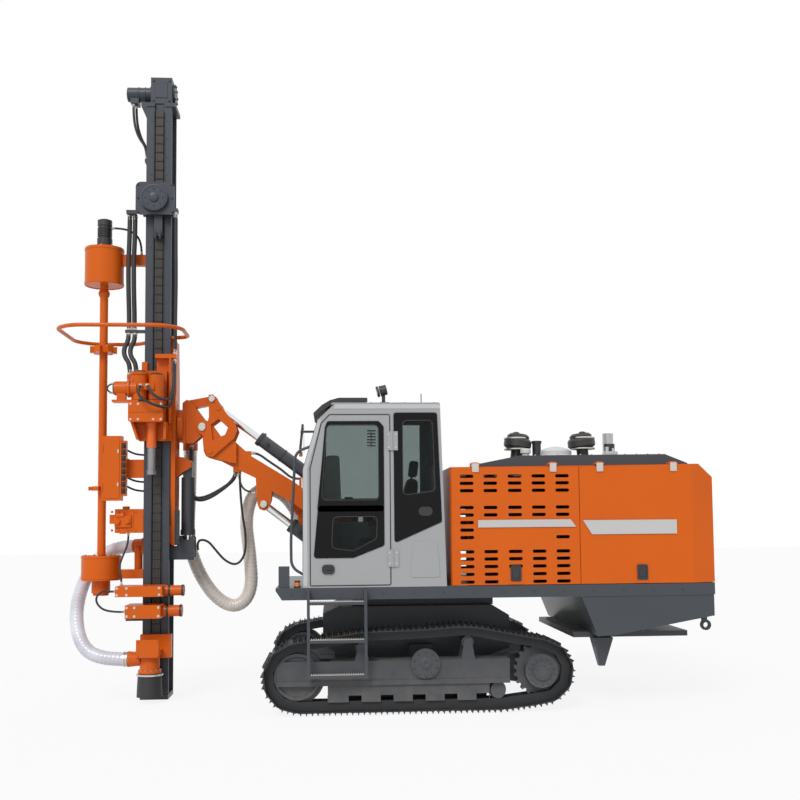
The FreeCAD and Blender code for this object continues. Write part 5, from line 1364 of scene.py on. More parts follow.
    def inside(self) -> None:
        """Seat with its pads, screen, lever knobs and the console's column, seen through the panes."""
        plinth = block((-0.175, -0.925, 1.296), (0.195, -0.545, 1.60), 0.012)
        rails = block((-0.20, -0.95, 1.585), (0.21, -0.52, 1.622), 0.006)
        posts = joined([bar((0.292, y, 2.26), (0.292, y, 2.40), 0.008, 12) for y in (-0.792, -0.678)])
        arms = joined([block((0.05, y - 0.02, 1.66), (0.12, y + 0.02, 1.86), 0.008) for y in (-1.035, -0.435)])
        add_piece("seat_frame", plinth + rails + posts + arms, BLACK, Body.CHASSIS, replaces=("operator_seat",))
        still, hip = (0.0, 0.0, 0.0), (0.0, -0.735, 1.74)
        pads = [
            ("cushion", (-0.26, -0.98, 1.618), (0.235, -0.49, 1.745), 0.0, still, still),
            ("back", (-0.065, -0.96, 1.74), (0.065, -0.51, 2.35), 9.0, hip, (0.205, 0.0, 0.0)),
            ("headrest", (-0.045, -0.86, 2.36), (0.045, -0.61, 2.53), 7.0, (0.0, -0.735, 2.36), (0.30, 0.0, 0.0)),
            ("arm_left", (-0.16, -1.085, 1.848), (0.16, -1.0, 1.912), 0.0, still, still),
            ("arm_right", (-0.16, -0.47, 1.848), (0.16, -0.385, 1.912), 0.0, still, still),
        ]
        for name, low, high, lean, about, move in pads:
            surface = pillow(low, high).turned(Axis.Y, lean, about).shifted(move)
            add_piece(f"seat_{name}", surface, CLOTH, Body.CHASSIS, 70.0, ("operator_seat",))
        edge = rectangle((-0.562, 2.016), (-0.328, 2.324), 0.014)
        screen = block((-0.643, -0.548, 2.03), (-0.636, -0.342, 2.31), 0.004)
        screen = screen + window_ring(edge, inset(edge, 0.018), Axis.X, -0.644, -0.632)
        add_piece("console_screen", screen.shifted((0.034, 0.0, 0.0)), GLOSS_BLACK, Body.CHASSIS)
        knobs = joined([
            revolved([(0.016, 0.0), (wide, 0.02), (wide, 0.05), (0.012, top)], foot, UP, 20)
            for wide, top, foot in ((0.024, 0.068, (-0.64, -0.44, 2.03)), (0.022, 0.066, (-0.105, -1.045, 2.0)))
        ])
        add_piece("lever_knobs", knobs, BLACK, Body.CHASSIS)
        column = prism(rounded(self.column, 0.03), Axis.Y, -0.60, -0.565, 0.004)
        add_piece("console_column", column, PALE_PLASTIC, Body.CHASSIS)

    def build(self) -> None:
        """Makes every piece of the cab."""
        self.borders()
        self.seals()
        self.furniture()
        self.shell()
        self.lamps()
        self.inside()


# Deck and engine body


@dataclass
class Steps:
    """Bright serrated treads on the ladder's steps, and a row of deck edge bolts."""

    rises: tuple[float, ...] = (0.39, 0.73, 1.10)
    span: Flat = (-0.760, -0.230)
    depth: Flat = (-1.322, -1.260)
    teeth: int = 23

    def tread(self, height: float) -> Surface:
        """A plate with rows of raised teeth: one tooth repeated along the step.

        Args:
            height: Top of the step that it lies on.

        Returns:
            Plate and teeth.
        """
        left, right = self.span
        near, far = self.depth
        top = height + 0.005
        plate = block((left, near, height + 0.0005), (right, far, top), 0.001)
        tooth = prism(np.array([(-0.006, 0.0), (-0.003, 0.009), (0.003, 0.009), (0.006, 0.0)]), Axis.Y, -0.004, 0.004)
        xs = np.linspace(left + 0.014, right - 0.014, self.teeth)
        return plate + tooth.copies(np.eye(3), grid(xs, (near + 0.008, (near + far) / 2.0, far - 0.008), [top]))

    def build(self) -> None:
        """Makes the treads and the bolts."""
        add_piece("ladder_treads", joined([self.tread(z + 0.014) for z in self.rises]), TREAD, Body.CHASSIS)
        xs = np.linspace(-0.95, 3.0, 14)
        beside_ladder = (xs > -0.85) & (xs < -0.15)
        bolts = hex_bolts(grid(xs[~beside_ladder], [-1.22], [1.19]), LEFT, 0.009)
        bolts = bolts + hex_bolts(grid(xs, [1.22], [1.19]), RIGHT, 0.009)
        add_piece("deck_edge_bolts", bolts, DECK, Body.CHASSIS)


@dataclass(frozen=True)
class PanelSpots:
    """Where a panel carries its latch, its hinge straps and its stripe."""

    latch: float
    latch_height: float
    straps: Flat
    stripe: Outline


@dataclass
class EngineBody:
    """Stripes, latches and hinge straps of the four panels, what stands on the hood and what lies over the engine."""

    panel_face: float = 1.228
    latch_low: float = 1.29
    latch_half: float = 0.055
    strap_half: float = 0.034
    strap_span: Flat = (2.386, 2.474)
    front: PanelSpots = PanelSpots(1.295, 0.16, (0.90, 1.69), (
        (0.92, 1.83), (0.92, 1.905), (1.86, 1.905), (1.915, 1.83)))
    rear: PanelSpots = PanelSpots(2.585, 0.155, (2.17, 2.93), (
        (2.075, 1.752), (1.985, 1.895), (2.95, 1.895), (2.95, 1.752)))
    cleaners: tuple[Flat, ...] = ((1.43, 2.575), (2.15, 2.578))
    cleaner_y: float = -0.6
    hood_front: Point = (1.41, 0.865, 2.5735)
    hood_slope: float = 0.009 / 1.54

    def on_side(self, surface: Surface, side: Side) -> Surface:
        """A surface made for +Y, mirrored to the side asked for.

        Args:
            surface: The surface as it is on the right.
            side: The side that it goes to.

        Returns:
            The surface on that side.
        """
        if side is Side.RIGHT:
            return surface
        return Surface(surface.points * np.array([1.0, -1.0, 1.0]), surface.faces).outward()

    def latch(self, spots: PanelSpots) -> Surface:
        """A latch's frame, dish, grip and lock.

        Args:
            spots: The panel's places.

        Returns:
            The latch on the right side.
        """
        x, low, face = spots.latch, self.latch_low, self.panel_face
        cup = rectangle((x - self.latch_half, low), (x + self.latch_half, low + spots.latch_height), 0.018)
        frame = window_ring(cup, inset(cup, 0.016), Axis.Y, face - 0.0005, face + 0.006)
        dish = prism(inset(cup, 0.0155), Axis.Y, face - 0.0004, face + 0.0012, 0.0004)
        grip = block((x - 0.034, face + 0.001, low + 0.03), (x + 0.034, face + 0.0055, low + 0.105), 0.002)
        lock = revolved([(0.010, 0.0), (0.010, 0.003), (0.007, 0.005)], (x, face + 0.001, low + 0.128), RIGHT, 16)
        return frame + dish + grip + lock

    def strap(self, centre: float) -> Surface:
        """A hinge strap with its two bolts.

        Args:
            centre: Its place along the panel.

        Returns:
            The strap on the right side.
        """
        low, high = self.strap_span
        plate = rectangle((centre - self.strap_half, low), (centre + self.strap_half, high), 0.008)
        bolts = grid((centre - 0.018, centre + 0.018), [self.panel_face + 0.005], [2.404])
        plate = prism(plate, Axis.Y, self.panel_face - 0.0005, self.panel_face + 0.005, 0.001)
        return plate + hex_bolts(bolts, RIGHT, 0.007)

    def panel(self, side: Side, place: str, spots: PanelSpots) -> None:
        """Everything that one panel carries.

        Args:
            side: The side of the machine.
            place: Which of the side's two panels it is.
            spots: The panel's places.
        """
        body = Body[f"PANEL_{side.name}_{place.upper()}"]
        name = f"{side.name.lower()}_{place}"
        stripe = prism(np.array(spots.stripe), Axis.Y, self.panel_face - 0.0002, self.panel_face + 0.0016)
        add_piece(f"stripe_{name}", self.on_side(stripe, side), DECAL, body)
        add_piece(f"latch_{name}", self.on_side(self.latch(spots), side), BLACK, body)
        straps = joined([self.strap(centre) for centre in spots.straps])
        add_piece(f"hinge_straps_{name}", self.on_side(straps, side), ZINC, body)

    def hood(self) -> None:
        """Cleaner bowls' bands and knobs, the tank's dome, the filler cap, a small valve and the hood's bolts."""
        y = self.cleaner_y
        bands = [collar(0.128, 0.004, (0.003, 0.015, 0.018), (x, y, z + lift), UP)
                 for x, z in self.cleaners for lift in (0.075, 0.19)]
        knob = [(0.030, 0.0), (0.036, 0.006), (0.036, 0.026), (0.016, 0.034)]
        caps = [revolved(knob, (x, y, z + 0.236), UP, 24) for x, z in self.cleaners]
        add_piece("cleaner_bands", joined(bands), ZINC, Body.CHASSIS)
        add_piece("cleaner_knobs", joined(caps), BLACK, Body.CHASSIS)
        dome = revolved([(0.18, 0.0), (0.18, 0.010), (0.1735, 0.016), (0.1735, 0.056), (0.142, 0.0775),
                         (0.09, 0.0955), (0.03, 0.1075)], (1.85, y, 2.5765), UP, 48)
        add_piece("tank_dome", dome, PALE_PLASTIC, Body.CHASSIS)
        cap = revolved([(0.04, 0.0), (0.04, 0.03), (0.055, 0.034), (0.055, 0.07), (0.045, 0.08), (0.015, 0.084)],
                       (1.50, -0.76, 2.572), UP, 28)
        add_piece("filler_cap", cap, PALE_PLASTIC, Body.CHASSIS)
        valve = block((2.36, -0.72, 2.58), (2.50, -0.62, 2.625), 0.006)
        valve = valve + bar((2.395, -0.67, 2.625), (2.395, -0.67, 2.675), 0.022, 20, 0.003)
        add_piece("hood_valve", valve + bar((2.46, -0.67, 2.625), (2.46, -0.67, 2.66), 0.016, 16, 0.003), STEEL,
                  Body.CHASSIS)
        start, half, low = self.hood_front
        places = grid(np.linspace(1.46, 2.90, 13), (-half, half), [low])
        places[:, 2] += self.hood_slope * (places[:, 0] - start)
        add_piece("hood_bolts", hex_bolts(places, UP, 0.009), ZINC, Body.CHASSIS)

    def engine(self) -> None:
        """Rocker cover and strapped expansion tank over the engine, seen dark through the vents."""
        cover = block((1.06, -0.30, 2.049), (2.28, 0.30, 2.13), 0.02)
        tank = block((0.74, -0.24, 2.16), (1.86, 0.24, 2.385), 0.035)
        legs = joined([block((x - 0.03, -0.22, 2.12), (x + 0.03, 0.22, 2.17), 0.004) for x in (1.15, 1.70)])
        straps = joined([block((x - 0.02, -0.246, 2.154), (x + 0.02, 0.246, 2.391), 0.01)
                         for x in (0.95, 1.30, 1.65)])
        studs = hex_bolts(grid(np.linspace(1.12, 2.22, 9), (-0.27, 0.27), [2.13]), UP, 0.010)
        add_piece("engine_dress", cover + tank + legs + straps + studs, IRON, Body.CHASSIS)

    def build(self) -> None:
        """Makes all panels' fittings, the hood's and the engine's."""
        for side in Side:
            self.panel(side, "front", self.front)
            self.panel(side, "rear", self.rear)
        self.hood()
        self.engine()


# Running gear


@dataclass
class Tracks:
    """Bolts along each track's shoes and on its covers, and the guard inside its rollers."""

    middle: float = 1.05
    shoes: int = 39
    idler: Flat = (-0.89, 0.37)
    idler_radius: float = 0.284
    sprocket: Flat = (1.545, 0.395)
    sprocket_radius: float = 0.259
    pivot: Flat = (0.38, 0.49)
    carriers: Outline = ((-0.25, 0.757), (0.30, 0.768), (0.81, 0.802))
    last_roller: Flat = (1.15, 0.086)
    inside: Flat = (0.33, 0.40)
    guard: Outline = ((-0.60, 0.118), (-0.56, 0.292), (1.0, 0.292), (1.03, 0.118))

    def tangent(self, centre: Flat, radius: float, point: Flat, turn: int) -> float:
        """Angle on a wheel where a straight run from a point meets it: atan2 of the run plus or minus acos(r / run).

        Args:
            centre: The wheel's middle.
            radius: Its radius.
            point: Where the run comes from.
            turn: 1 or -1, the side of the wheel.

        Returns:
            The angle, in radians.
        """
        dx, dz = point[0] - centre[0], point[1] - centre[1]
        return math.atan2(dz, dx) + turn * math.acos(radius / math.hypot(dx, dz))

    def pins(self) -> np.ndarray:
        """Places of the chain's pins, equal steps along the line over wheels and rollers.

        Returns:
            One place in X and Z for each shoe.
        """
        up = self.tangent(self.idler, self.idler_radius, self.carriers[0], 1)
        over = self.tangent(self.sprocket, self.sprocket_radius, self.carriers[-1], -1)
        low = self.tangent(self.sprocket, self.sprocket_radius, self.last_roller, 1)
        front, rear = np.linspace(-math.pi / 2.0, up - TURN, 41), np.linspace(over, low, 41)
        line = np.concatenate([
            [self.last_roller], on_circle(front, self.idler_radius, self.idler), self.carriers,
            on_circle(rear, self.sprocket_radius, self.sprocket), [self.last_roller],
        ])
        return resampled(line, travelled(line)[-1] * np.arange(self.shoes) / self.shoes)

    def frames(self) -> tuple[np.ndarray, np.ndarray]:
        """Where the shoes lie.

        Returns:
            Their middles, and their rotations, whose columns point along, across and outward.
        """
        start, end = self.pins(), np.roll(self.pins(), -1, 0)
        along, middle = unit(end - start), (start + end) / 2.0
        outward = np.stack([-along[:, 1], along[:, 0]], 1)
        outward = outward * np.sign(((middle - np.array(self.inside)) * outward).sum(1))[:, None]
        first, third = laid(along, Axis.Y, 0.0), laid(outward, Axis.Y, 0.0)
        return laid(middle, Axis.Y, 0.0), np.stack([first, np.cross(third, first), third], 2)

    def chain(self, side: Side) -> None:
        """Shoe bolts on every plate of one side.

        Args:
            side: The side of the machine.
        """
        places, rotation = self.frames()
        shift = np.array([0.0, side.value * self.middle, 0.0])
        single = hex_bolts(grid((-0.030, 0.024), (-0.128, -0.072, 0.072, 0.128), [0.0575]), UP, 0.0085)
        add_piece(f"shoe_bolts_{side.name.lower()}", single.copies(rotation, places + shift), SHOE, Body.CHASSIS)

    def covers(self, side: Side) -> None:
        """Bolt circles on one side's sprocket cover and pivot cover, and the pivot's cap.

        Args:
            side: The side of the machine.
        """
        out = float(side.value)
        way = (0.0, out, 0.0)
        circles = [(self.sprocket, 0.128, 14, 0.150, 0.011), (self.sprocket, 0.066, 8, 0.172, 0.009),
                   (self.pivot, 0.118, 10, 0.165, 0.012)]
        bolts = joined([
            hex_bolts(round_places((x, out * (self.middle + depth), z), radius, spread(count, 0.5), Axis.Y), way, size)
            for (x, z), radius, count, depth, size in circles
        ])
        add_piece(f"cover_bolts_{side.name.lower()}", bolts, FRAME, Body.CHASSIS)
        cap = revolved([(0.060, 0.0), (0.060, 0.006), (0.050, 0.010), (0.022, 0.011), (0.014, 0.004)],
                       (self.pivot[0], out * (self.middle + 0.165), self.pivot[1]), way, 36)
        add_piece(f"pivot_cap_{side.name.lower()}", cap, FRAME, Body.CHASSIS)

    def guards(self, side: Side) -> None:
        """The plate that closes the rollers' inner side, with a folded lower edge.

        Args:
            side: The side of the machine.
        """
        inner = side.value * (self.middle - 0.112)
        low, high = sorted((inner, inner - side.value * 0.008))
        near, far = sorted((inner, inner - side.value * 0.022))
        plate = prism(rounded(self.guard, 0.02), Axis.Y, low, high, 0.001)
        fold = block((-0.58, near, 0.112), (1.01, far, 0.122), 0.002)
        add_piece(f"inner_guard_{side.name.lower()}", plate + fold, FRAME, Body.CHASSIS)

    def build(self) -> None:
        """Dresses both tracks."""
        for side in Side:
            self.chain(side)
            self.covers(side)
            self.guards(side)


# Boom group


@dataclass
class BoomGroup:
    """Pin covers, cylinder glands and hose ends of the boom and its linkage."""

    middle: float = 0.20
    hose_top: float = 2.4695
    tip_top: float = 2.7895
    hose_step: float = 0.042

    def pin_cover(self, x: float, z: float, radius: float, depth: float, side: int) -> Surface:
        """A retaining plate and its bolts on the end of a pin.

        Args:
            x: The pin's place along the machine.
            z: The pin's height.
            radius: The pin's radius.
            depth: How far from the boom's middle the plate sits.
            side: -1 for the left end, 1 for the right one.

        Returns:
            The plate with three bolts.
        """
        face = self.middle + side * depth
        out = (0.0, float(side), 0.0)
        plate = revolved([(radius * 1.15, 0.0), (radius * 1.15, 0.008), (radius, 0.012)], (x, face, z), out, 28)
        places = round_places((x, face + side * 0.012, z), radius * 0.62, spread(3) + 0.5, Axis.Y)
        return plate + hex_bolts(places, out, radius * 0.18)

    def pins(self) -> None:
        """Covers on both ends of every pin, by the body that holds it."""
        pins = {
            Body.BOOM: ((-0.5, 1.95, 0.050, 0.1185), (-1.30, 2.105, 0.036, 0.1005), (-1.89, 2.70, 0.034, 0.1395)),
            Body.HOLDER: ((-1.98, 2.97, 0.040, 0.1455),),
            Body.ROCKER: ((-1.87, 3.28, 0.032, 0.1805),),
        }
        for body, rows in pins.items():
            covers = [self.pin_cover(*row, side) for row in rows for side in (-1, 1)]
            add_piece(f"pin_covers_{body.value}", joined(covers), ZINC, body)

    def glands(self) -> None:
        """Dark gland rings, bands and ports at the mouth of each cylinder."""
        mouths = {
            Body.LIFT_BARREL: ((-0.53, 0.20, 1.51), (-1.30, 0.20, 2.105), 0.555, 0.076),
            Body.TILT_BARREL: ((-0.72, 0.20, 2.375), (-1.80, 0.20, 3.18), 0.755, 0.074),
        }
        for body, (foot, eye, along, radius) in mouths.items():
            way = unit(np.array(eye) - np.array(foot))
            place = np.array(foot) + way * along
            ring = collar(radius, 0.007, (0.003, 0.030, 0.034), place, way)
            band = collar(radius, 0.004, (0.002, 0.014, 0.016), place - way * 0.30, way)
            side = place - way * 0.08 + np.array([0.0, 0.004 - radius, 0.0])
            port = block((-0.02, -0.02, 0.0), (0.02, 0.02, 0.03), 0.004).copies(frame_of(LEFT), side[None])
            add_piece(f"gland_{body.value}", ring + band + port, BLACK, body)

    def fittings(self) -> None:
        """Silver fittings at every hose end on the boom and the holder, and the rear duct's bands."""
        top = self.hose_top
        ends = [((-1.62, 0.158 + self.hose_step * n, top), DOWN, 0.020) for n in range(3)]
        ends += [((-1.578, 0.262, top), DOWN, 0.013), ((-1.578, 0.15, top), DOWN, 0.011),
                 ((-1.3905, 0.127, 2.24), FRONT, 0.011), ((-1.4395, 0.13, 2.68), REAR, 0.013)]
        add_piece("boom_hose_ends", BOOM_END.at(ends), ZINC, Body.BOOM)
        far = [((-2.13, 0.284 + self.hose_step * n, self.tip_top), DOWN, 0.020) for n in range(3)]
        bands = [collar(*DUCT_BAND, (-2.16, 0.47, z), UP) for z in (2.708, 2.68)]
        add_piece("holder_hose_ends", BOOM_END.at(far) + joined(bands), ZINC, Body.HOLDER)
        root = unit(np.array([-0.055, 0.0, 0.145]))
        band = collar(*DUCT_BAND, np.array([-0.905, 0.405, 1.925]) + root * 0.02, root)
        add_piece("boom_duct_band", band, ZINC, Body.BOOM)

    def build(self) -> None:
        """Makes all pieces of the boom group."""
        self.pins()
        self.glands()
        self.fittings()


# Feed beam and what it carries


@dataclass
class Feed:
    """Chain, rail bolts, top drive, hose ends and hose carriage of the feed beam, and the cradle's black plate."""

    slot_middle: float = -2.446
    front: float = -0.08
    chain_low: float = 0.30
    chain_top: float = 6.531
    links: int = 62
    link_half: float = 0.032
    rail_rows: int = 30
    behind: tuple[Flat, ...] = ((5.05, 5.70), (2.75, 3.75))
    drive: Flat = (0.09, 6.76)
    wheel: Point = (-2.48, -0.23, 5.48)

    def chain(self) -> None:
        """Rollers and link plates of the feed chain, seen in the beam's slot."""
        pitch = (self.chain_top - self.chain_low) / self.links
        half = self.link_half
        plate = prism(rounded(((-0.011, 0.004), (0.011, 0.004), (0.011, pitch), (-0.011, pitch)), 0.010, 3),
                      Axis.Y, -0.079, -0.0765, 0.0008)
        pin = revolved([(0.009, 0.0), (0.009, 0.0035), (0.007, 0.005)], (0.0, -0.0765, 0.012), LEFT, 12)
        roller = bar((-0.026, -0.0775, 0.012), (0.026, -0.0775, 0.012), 0.0075, 10, 0.001)
        link = (plate + pin).copies(np.eye(3), grid((-half, half), [0.0], [0.0])) + roller
        places = grid([self.slot_middle], [0.0], self.chain_low + pitch * np.arange(self.links))
        add_piece("chain_links", link.copies(np.eye(3), places), CHAIN, Body.BEAM)

    def rails(self) -> None:
        """Bright wear strips at the slot's edges, bolts down both rails, and the cradle's black plate."""
        strips = joined([block((x, self.front - 0.0035, 0.30), (x + 0.010, self.front + 0.0005, 6.50), 0.001)
                         for x in (-2.512, -2.390)])
        add_piece("slot_edges", strips, CHAIN, Body.BEAM)
        rows = np.linspace(0.42, 6.40, self.rail_rows)
        rows = [z for z in rows if not any(low < z < high for low, high in self.behind)]
        add_piece("rail_bolts", hex_bolts(grid((-2.531, -2.365), [self.front], rows), LEFT, 0.0055),
                  BEAM_PAINT, Body.BEAM)
        guard = prism(rectangle((-2.245, 1.675), (-2.2, 2.046), 0.008), Axis.Y, -0.074, -0.062, 0.002)
        guard = guard + block((-2.256, -0.074, 1.675), (-2.238, -0.03, 2.046), 0.002)
        bolts = hex_bolts(grid([-2.222], [-0.074], (1.72, 1.80, 1.92, 2.0)), LEFT, 0.008)
        add_piece("cradle_guard_plate", guard + bolts, BLACK, Body.CRADLE)

    def top(self) -> None:
        """Bolts, ports and fittings of the drive at the beam's top."""
        bolts = hex_bolts(round_places((-2.29, *self.drive), 0.10, spread(8), Axis.X), REAR, 0.010)
        inner = round_places((-2.574, *self.drive), 0.083, spread(8) + 0.2, Axis.X)
        bolts = bolts + hex_bolts(inner, FRONT, 0.007)
        lid = [(0.080, 0.0), (0.078, 0.010), (0.060, 0.016), (0.020, 0.018)]
        cap = revolved(lid, (-2.82, *self.drive), FRONT, 36)
        steps = joined([collar(0.080, 0.005, (0.003, 0.018, 0.021), (x, *self.drive), FRONT, 36)
                        for x in (-2.62, -2.69)])
        side = hex_bolts(grid((-2.52, -2.345), [-0.06], (6.64, 6.87)), LEFT, 0.011)
        plate = block((-2.50, -0.066, 6.67), (-2.365, -0.0595, 6.84), 0.003)
        add_piece("top_drive_dress", bolts + cap + steps + side + plate, BEAM_PAINT, Body.BEAM)

    def hose_ends(self) -> None:
        """Fittings of the hoses that start or end on the beam."""
        ends = [((x, y, 6.6395), DOWN, 0.014) for x, y in ((-2.76, 0.045), (-2.735, 0.092))]
        ends += [((-2.608, y, 6.0005), UP, 0.014) for y in (0.045, 0.092)]
        ends += [((-3.0045, 0.1, 5.22), REAR, 0.012), ((-2.665, 0.1, 4.9105), UP, 0.012),
                 ((-2.76, -0.02, 1.7995), DOWN, 0.011), ((-2.79, -0.23, 1.2405), UP, 0.011),
                 ((-2.8205, -0.34, 1.185), FRONT, 0.011), ((-2.7205, -0.35, 0.97), FRONT, 0.011)]
        ends += [((-2.87, -0.0745, z), RIGHT, 0.011) for z in (2.76, 2.66, 2.56, 2.46, 2.36)]
        ends += [((x, -0.038, 4.0355), UP, 0.026) for x in (-2.77, -2.712)]
        ends += [((x, -0.038, 4.0045), DOWN, 0.026) for x in (-2.774, -2.706)]
        add_piece("beam_hose_ends", BEAM_END.at(ends), ZINC, Body.BEAM)

    def carriage(self) -> None:
        """Bolts round the hose carriage's plate and wheel, its tension screws and its hose ends."""
        bolts = hex_bolts(grid((-2.66, -2.29), [-0.19], (5.33, 5.485, 5.635)), LEFT, 0.011)
        hub = revolved([(0.052, 0.0), (0.052, 0.012), (0.040, 0.018), (0.016, 0.019)], self.wheel, LEFT, 32)
        rim = revolved([(0.148, 0.0), (0.148, 0.004), (0.128, 0.006), (0.124, 0.0005)], self.wheel, LEFT, 48)
        x, y, z = self.wheel
        ring = hex_bolts(round_places((x, y - 0.0005, z), 0.095, spread(8), Axis.Y), LEFT, 0.008)
        screws = joined([bar((x, -0.17, 5.03), (x, -0.17, 5.12), 0.010, 12, 0.001) for x in (-2.47, -2.42)])
        add_piece("carriage_dress", bolts + hub + rim + ring + screws, BEAM_PAINT, Body.CARRIAGE)
        ends = [((x, y, 5.3295), DOWN, r) for x, y, r in (
            (-2.77, -0.052, 0.026), (-2.712, -0.052, 0.026), (-2.248, -0.128, 0.016), (-2.248, -0.172, 0.016))]
        add_piece("carriage_hose_ends", CARRIAGE_END.at(ends), ZINC, Body.CARRIAGE)

    def build(self) -> None:
        """Makes all pieces of the beam and its carriage."""
        self.chain()
        self.rails()
        self.top()
        self.hose_ends()
        self.carriage()


@dataclass
class Head:
    """Bolt rings, motor caps and hose ends of the rotary head."""

    axis: Flat = (-2.48, -0.25)
    motors: Route = ((-2.606, -0.30, 3.526), (-2.424, -0.30, 3.495))
    face: float = -0.4
    seam_face: float = -0.4045

    def caps(self) -> Surface:
        """Stepped caps of the two upright motors and of the small one in front.

        Returns:
            The three caps.
        """
        tall = [(0.070, 0.0), (0.070, 0.012), (0.056, 0.020), (0.018, 0.022)]
        small = [(0.066, 0.0), (0.066, 0.010), (0.050, 0.018), (0.018, 0.020)]
        caps = [revolved(tall, place, UP, 36) for place in self.motors]
        return joined([*caps, revolved(small, (-2.858, -0.33, 3.35), FRONT, 36)])

    def build(self) -> None:
        """Makes the head's pieces."""
        bands = joined([collar(0.084, 0.005, (0.003, 0.020, 0.023), (x, y, 3.205), UP) for x, y, _ in self.motors])
        add_piece("motor_caps", self.caps() + bands, BLACK, Body.HEAD)
        bolts = joined([hex_bolts(round_places((x, y, 3.228), 0.07, spread(4) + 0.8), UP, 0.008)
                        for x, y, _ in self.motors])
        face = hex_bolts(grid((-2.68, -2.60, -2.44, -2.36), [self.face], (3.01, 3.175)), LEFT, 0.010)
        add_piece("gear_case_bolts", bolts + face, ZINC, Body.HEAD)
        seam = block((-2.70, self.seam_face, 3.085), (-2.345, self.face + 0.0005, 3.099), 0.002)
        screws = hex_bolts(grid(np.linspace(-2.68, -2.365, 6), [self.seam_face], [3.092]), LEFT, 0.0045)
        add_piece("gear_case_seam", seam + screws, ORANGE, Body.HEAD)
        ends = [((x, -0.156, 3.5205), UP, 0.026) for x in (-2.734, -2.666)]
        ends += [((x, -0.4005, 3.37), LEFT, 0.015) for x in (-2.57, -2.50)]
        ends += [((-2.256, y, 3.6995), DOWN, 0.015) for y in (-0.128, -0.174)]
        ends += [((-2.248, y, 3.7455), UP, 0.016) for y in (-0.128, -0.172)]
        ends += [((-2.8585, -0.33, z), FRONT, 0.009) for z in (3.40, 3.30)]
        add_piece("head_hose_ends", HEAD_END.at(ends), ZINC, Body.HEAD)
        sleeve = collar(0.0455, 0.0065, (0.004, 0.050, 0.054), (*self.axis, 2.42), UP, 32)
        add_piece("pipe_collar", sleeve, PIPE_STEEL, Body.PIPE)


@dataclass
class Magazine:
    """Motor, drum bolts and rims, gripper fittings and carousel bolts of the pipe magazine, and its valve box."""

    axis: Flat = (-3.075, 0.10)
    fins: int = 5
    fin_step: float = 0.022
    rims: tuple[float, ...] = (4.565, 4.945, 1.30, 1.525)
    slices: int = 8
    slice_step: float = 0.07

    def drum(self) -> None:
        """The drum's motor with its fins, its bolt circles and its rims."""
        x, y = self.axis
        motor = revolved([(0.076, 0.0), (0.084, 0.004), (0.084, 0.11), (0.0725, 0.12), (0.0725, 0.25), (0.080, 0.254),
                          (0.080, 0.318), (0.05, 0.330), (0.02, 0.332)], (x, y, 4.985), UP, 40)
        fins = joined([collar(0.072, 0.009, (0.002, 0.008, 0.010), (x, y, 5.115 + self.fin_step * i), UP)
                       for i in range(self.fins)])
        port = block((x + 0.05, y - 0.03, 5.19), (x + 0.075, y + 0.03, 5.25), 0.004)
        add_piece("magazine_motor", motor + fins + port, BLACK, Body.BEAM)
        circles = ((4.98, 0.19, 10), (1.555, 0.19, 10), (4.982, 0.085, 5))
        places = [round_places((x, y, z), radius, np.arange(count) * TURN / count + TURN / 20.0)
                  for z, radius, count in circles]
        add_piece("drum_bolts", hex_bolts(np.concatenate(places), UP, 0.010), ZINC, Body.BEAM)
        rims = [collar(0.212, 0.0045, (0.003, 0.022, 0.025), (x, y, z), UP, 56) for z in self.rims]
        add_piece("drum_rims", joined(rims), ORANGE, Body.BEAM)

    def gripper(self) -> None:
        """Bolts, cover and caps of the gripper, and the carousel's bolt stars."""
        x, y = self.axis
        bolts = hex_bolts(grid((-2.93, -2.86, -2.76, -2.68), [-0.06], (1.83, 2.03)), LEFT, 0.010)
        cover = block((-2.90, -0.085, 1.86), (-2.72, -0.0595, 1.99), 0.005)
        caps = bar((-2.87, -0.110, 1.925), (-2.87, -0.08, 1.925), 0.034, 28, 0.004)
        caps = caps + bar((-2.76, -0.112, 1.925), (-2.76, -0.08, 1.925), 0.026, 24, 0.004)
        add_piece("gripper_dress", bolts + cover + caps, ORANGE, Body.BEAM)
        stars = joined([hex_bolts(round_places((x, y, z), 0.10, spread(6)), UP, 0.009) for z in (2.31, 3.87)])
        add_piece("carousel_bolts", stars, ZINC, Body.CAROUSEL)

    def valve_box(self) -> None:
        """Lid with hinges and catches, and the row of valve slices beside it."""
        lid = prism(rectangle((-3.005, 2.175), (-2.828, 2.825), 0.02), Axis.Y, -0.206, -0.1995, 0.003)
        hinges = joined([bar((-3.008, -0.206, z), (-3.008, -0.206, z + 0.08), 0.008, 12, 0.001) for z in (2.25, 2.68)])
        catches = joined([block((-2.852, -0.213, z), (-2.832, -0.205, z + 0.045), 0.003) for z in (2.30, 2.66)])
        add_piece("valve_box_lid", lid + hinges, ORANGE, Body.BEAM)
        add_piece("valve_box_catches", catches, ZINC, Body.BEAM)
        single = block((-2.808, -0.198, 2.225), (-2.764, -0.189, 2.283), 0.004)
        single = single + bar((-2.786, -0.222, 2.254), (-2.786, -0.196, 2.254), 0.013, 16, 0.003)
        row = single.copies(np.eye(3), grid([0.0], [0.0], self.slice_step * np.arange(self.slices)))
        add_piece("valve_slices", row, BLACK, Body.BEAM)

    def build(self) -> None:
        """Makes the magazine's pieces."""
        self.drum()
        self.gripper()
        self.valve_box()


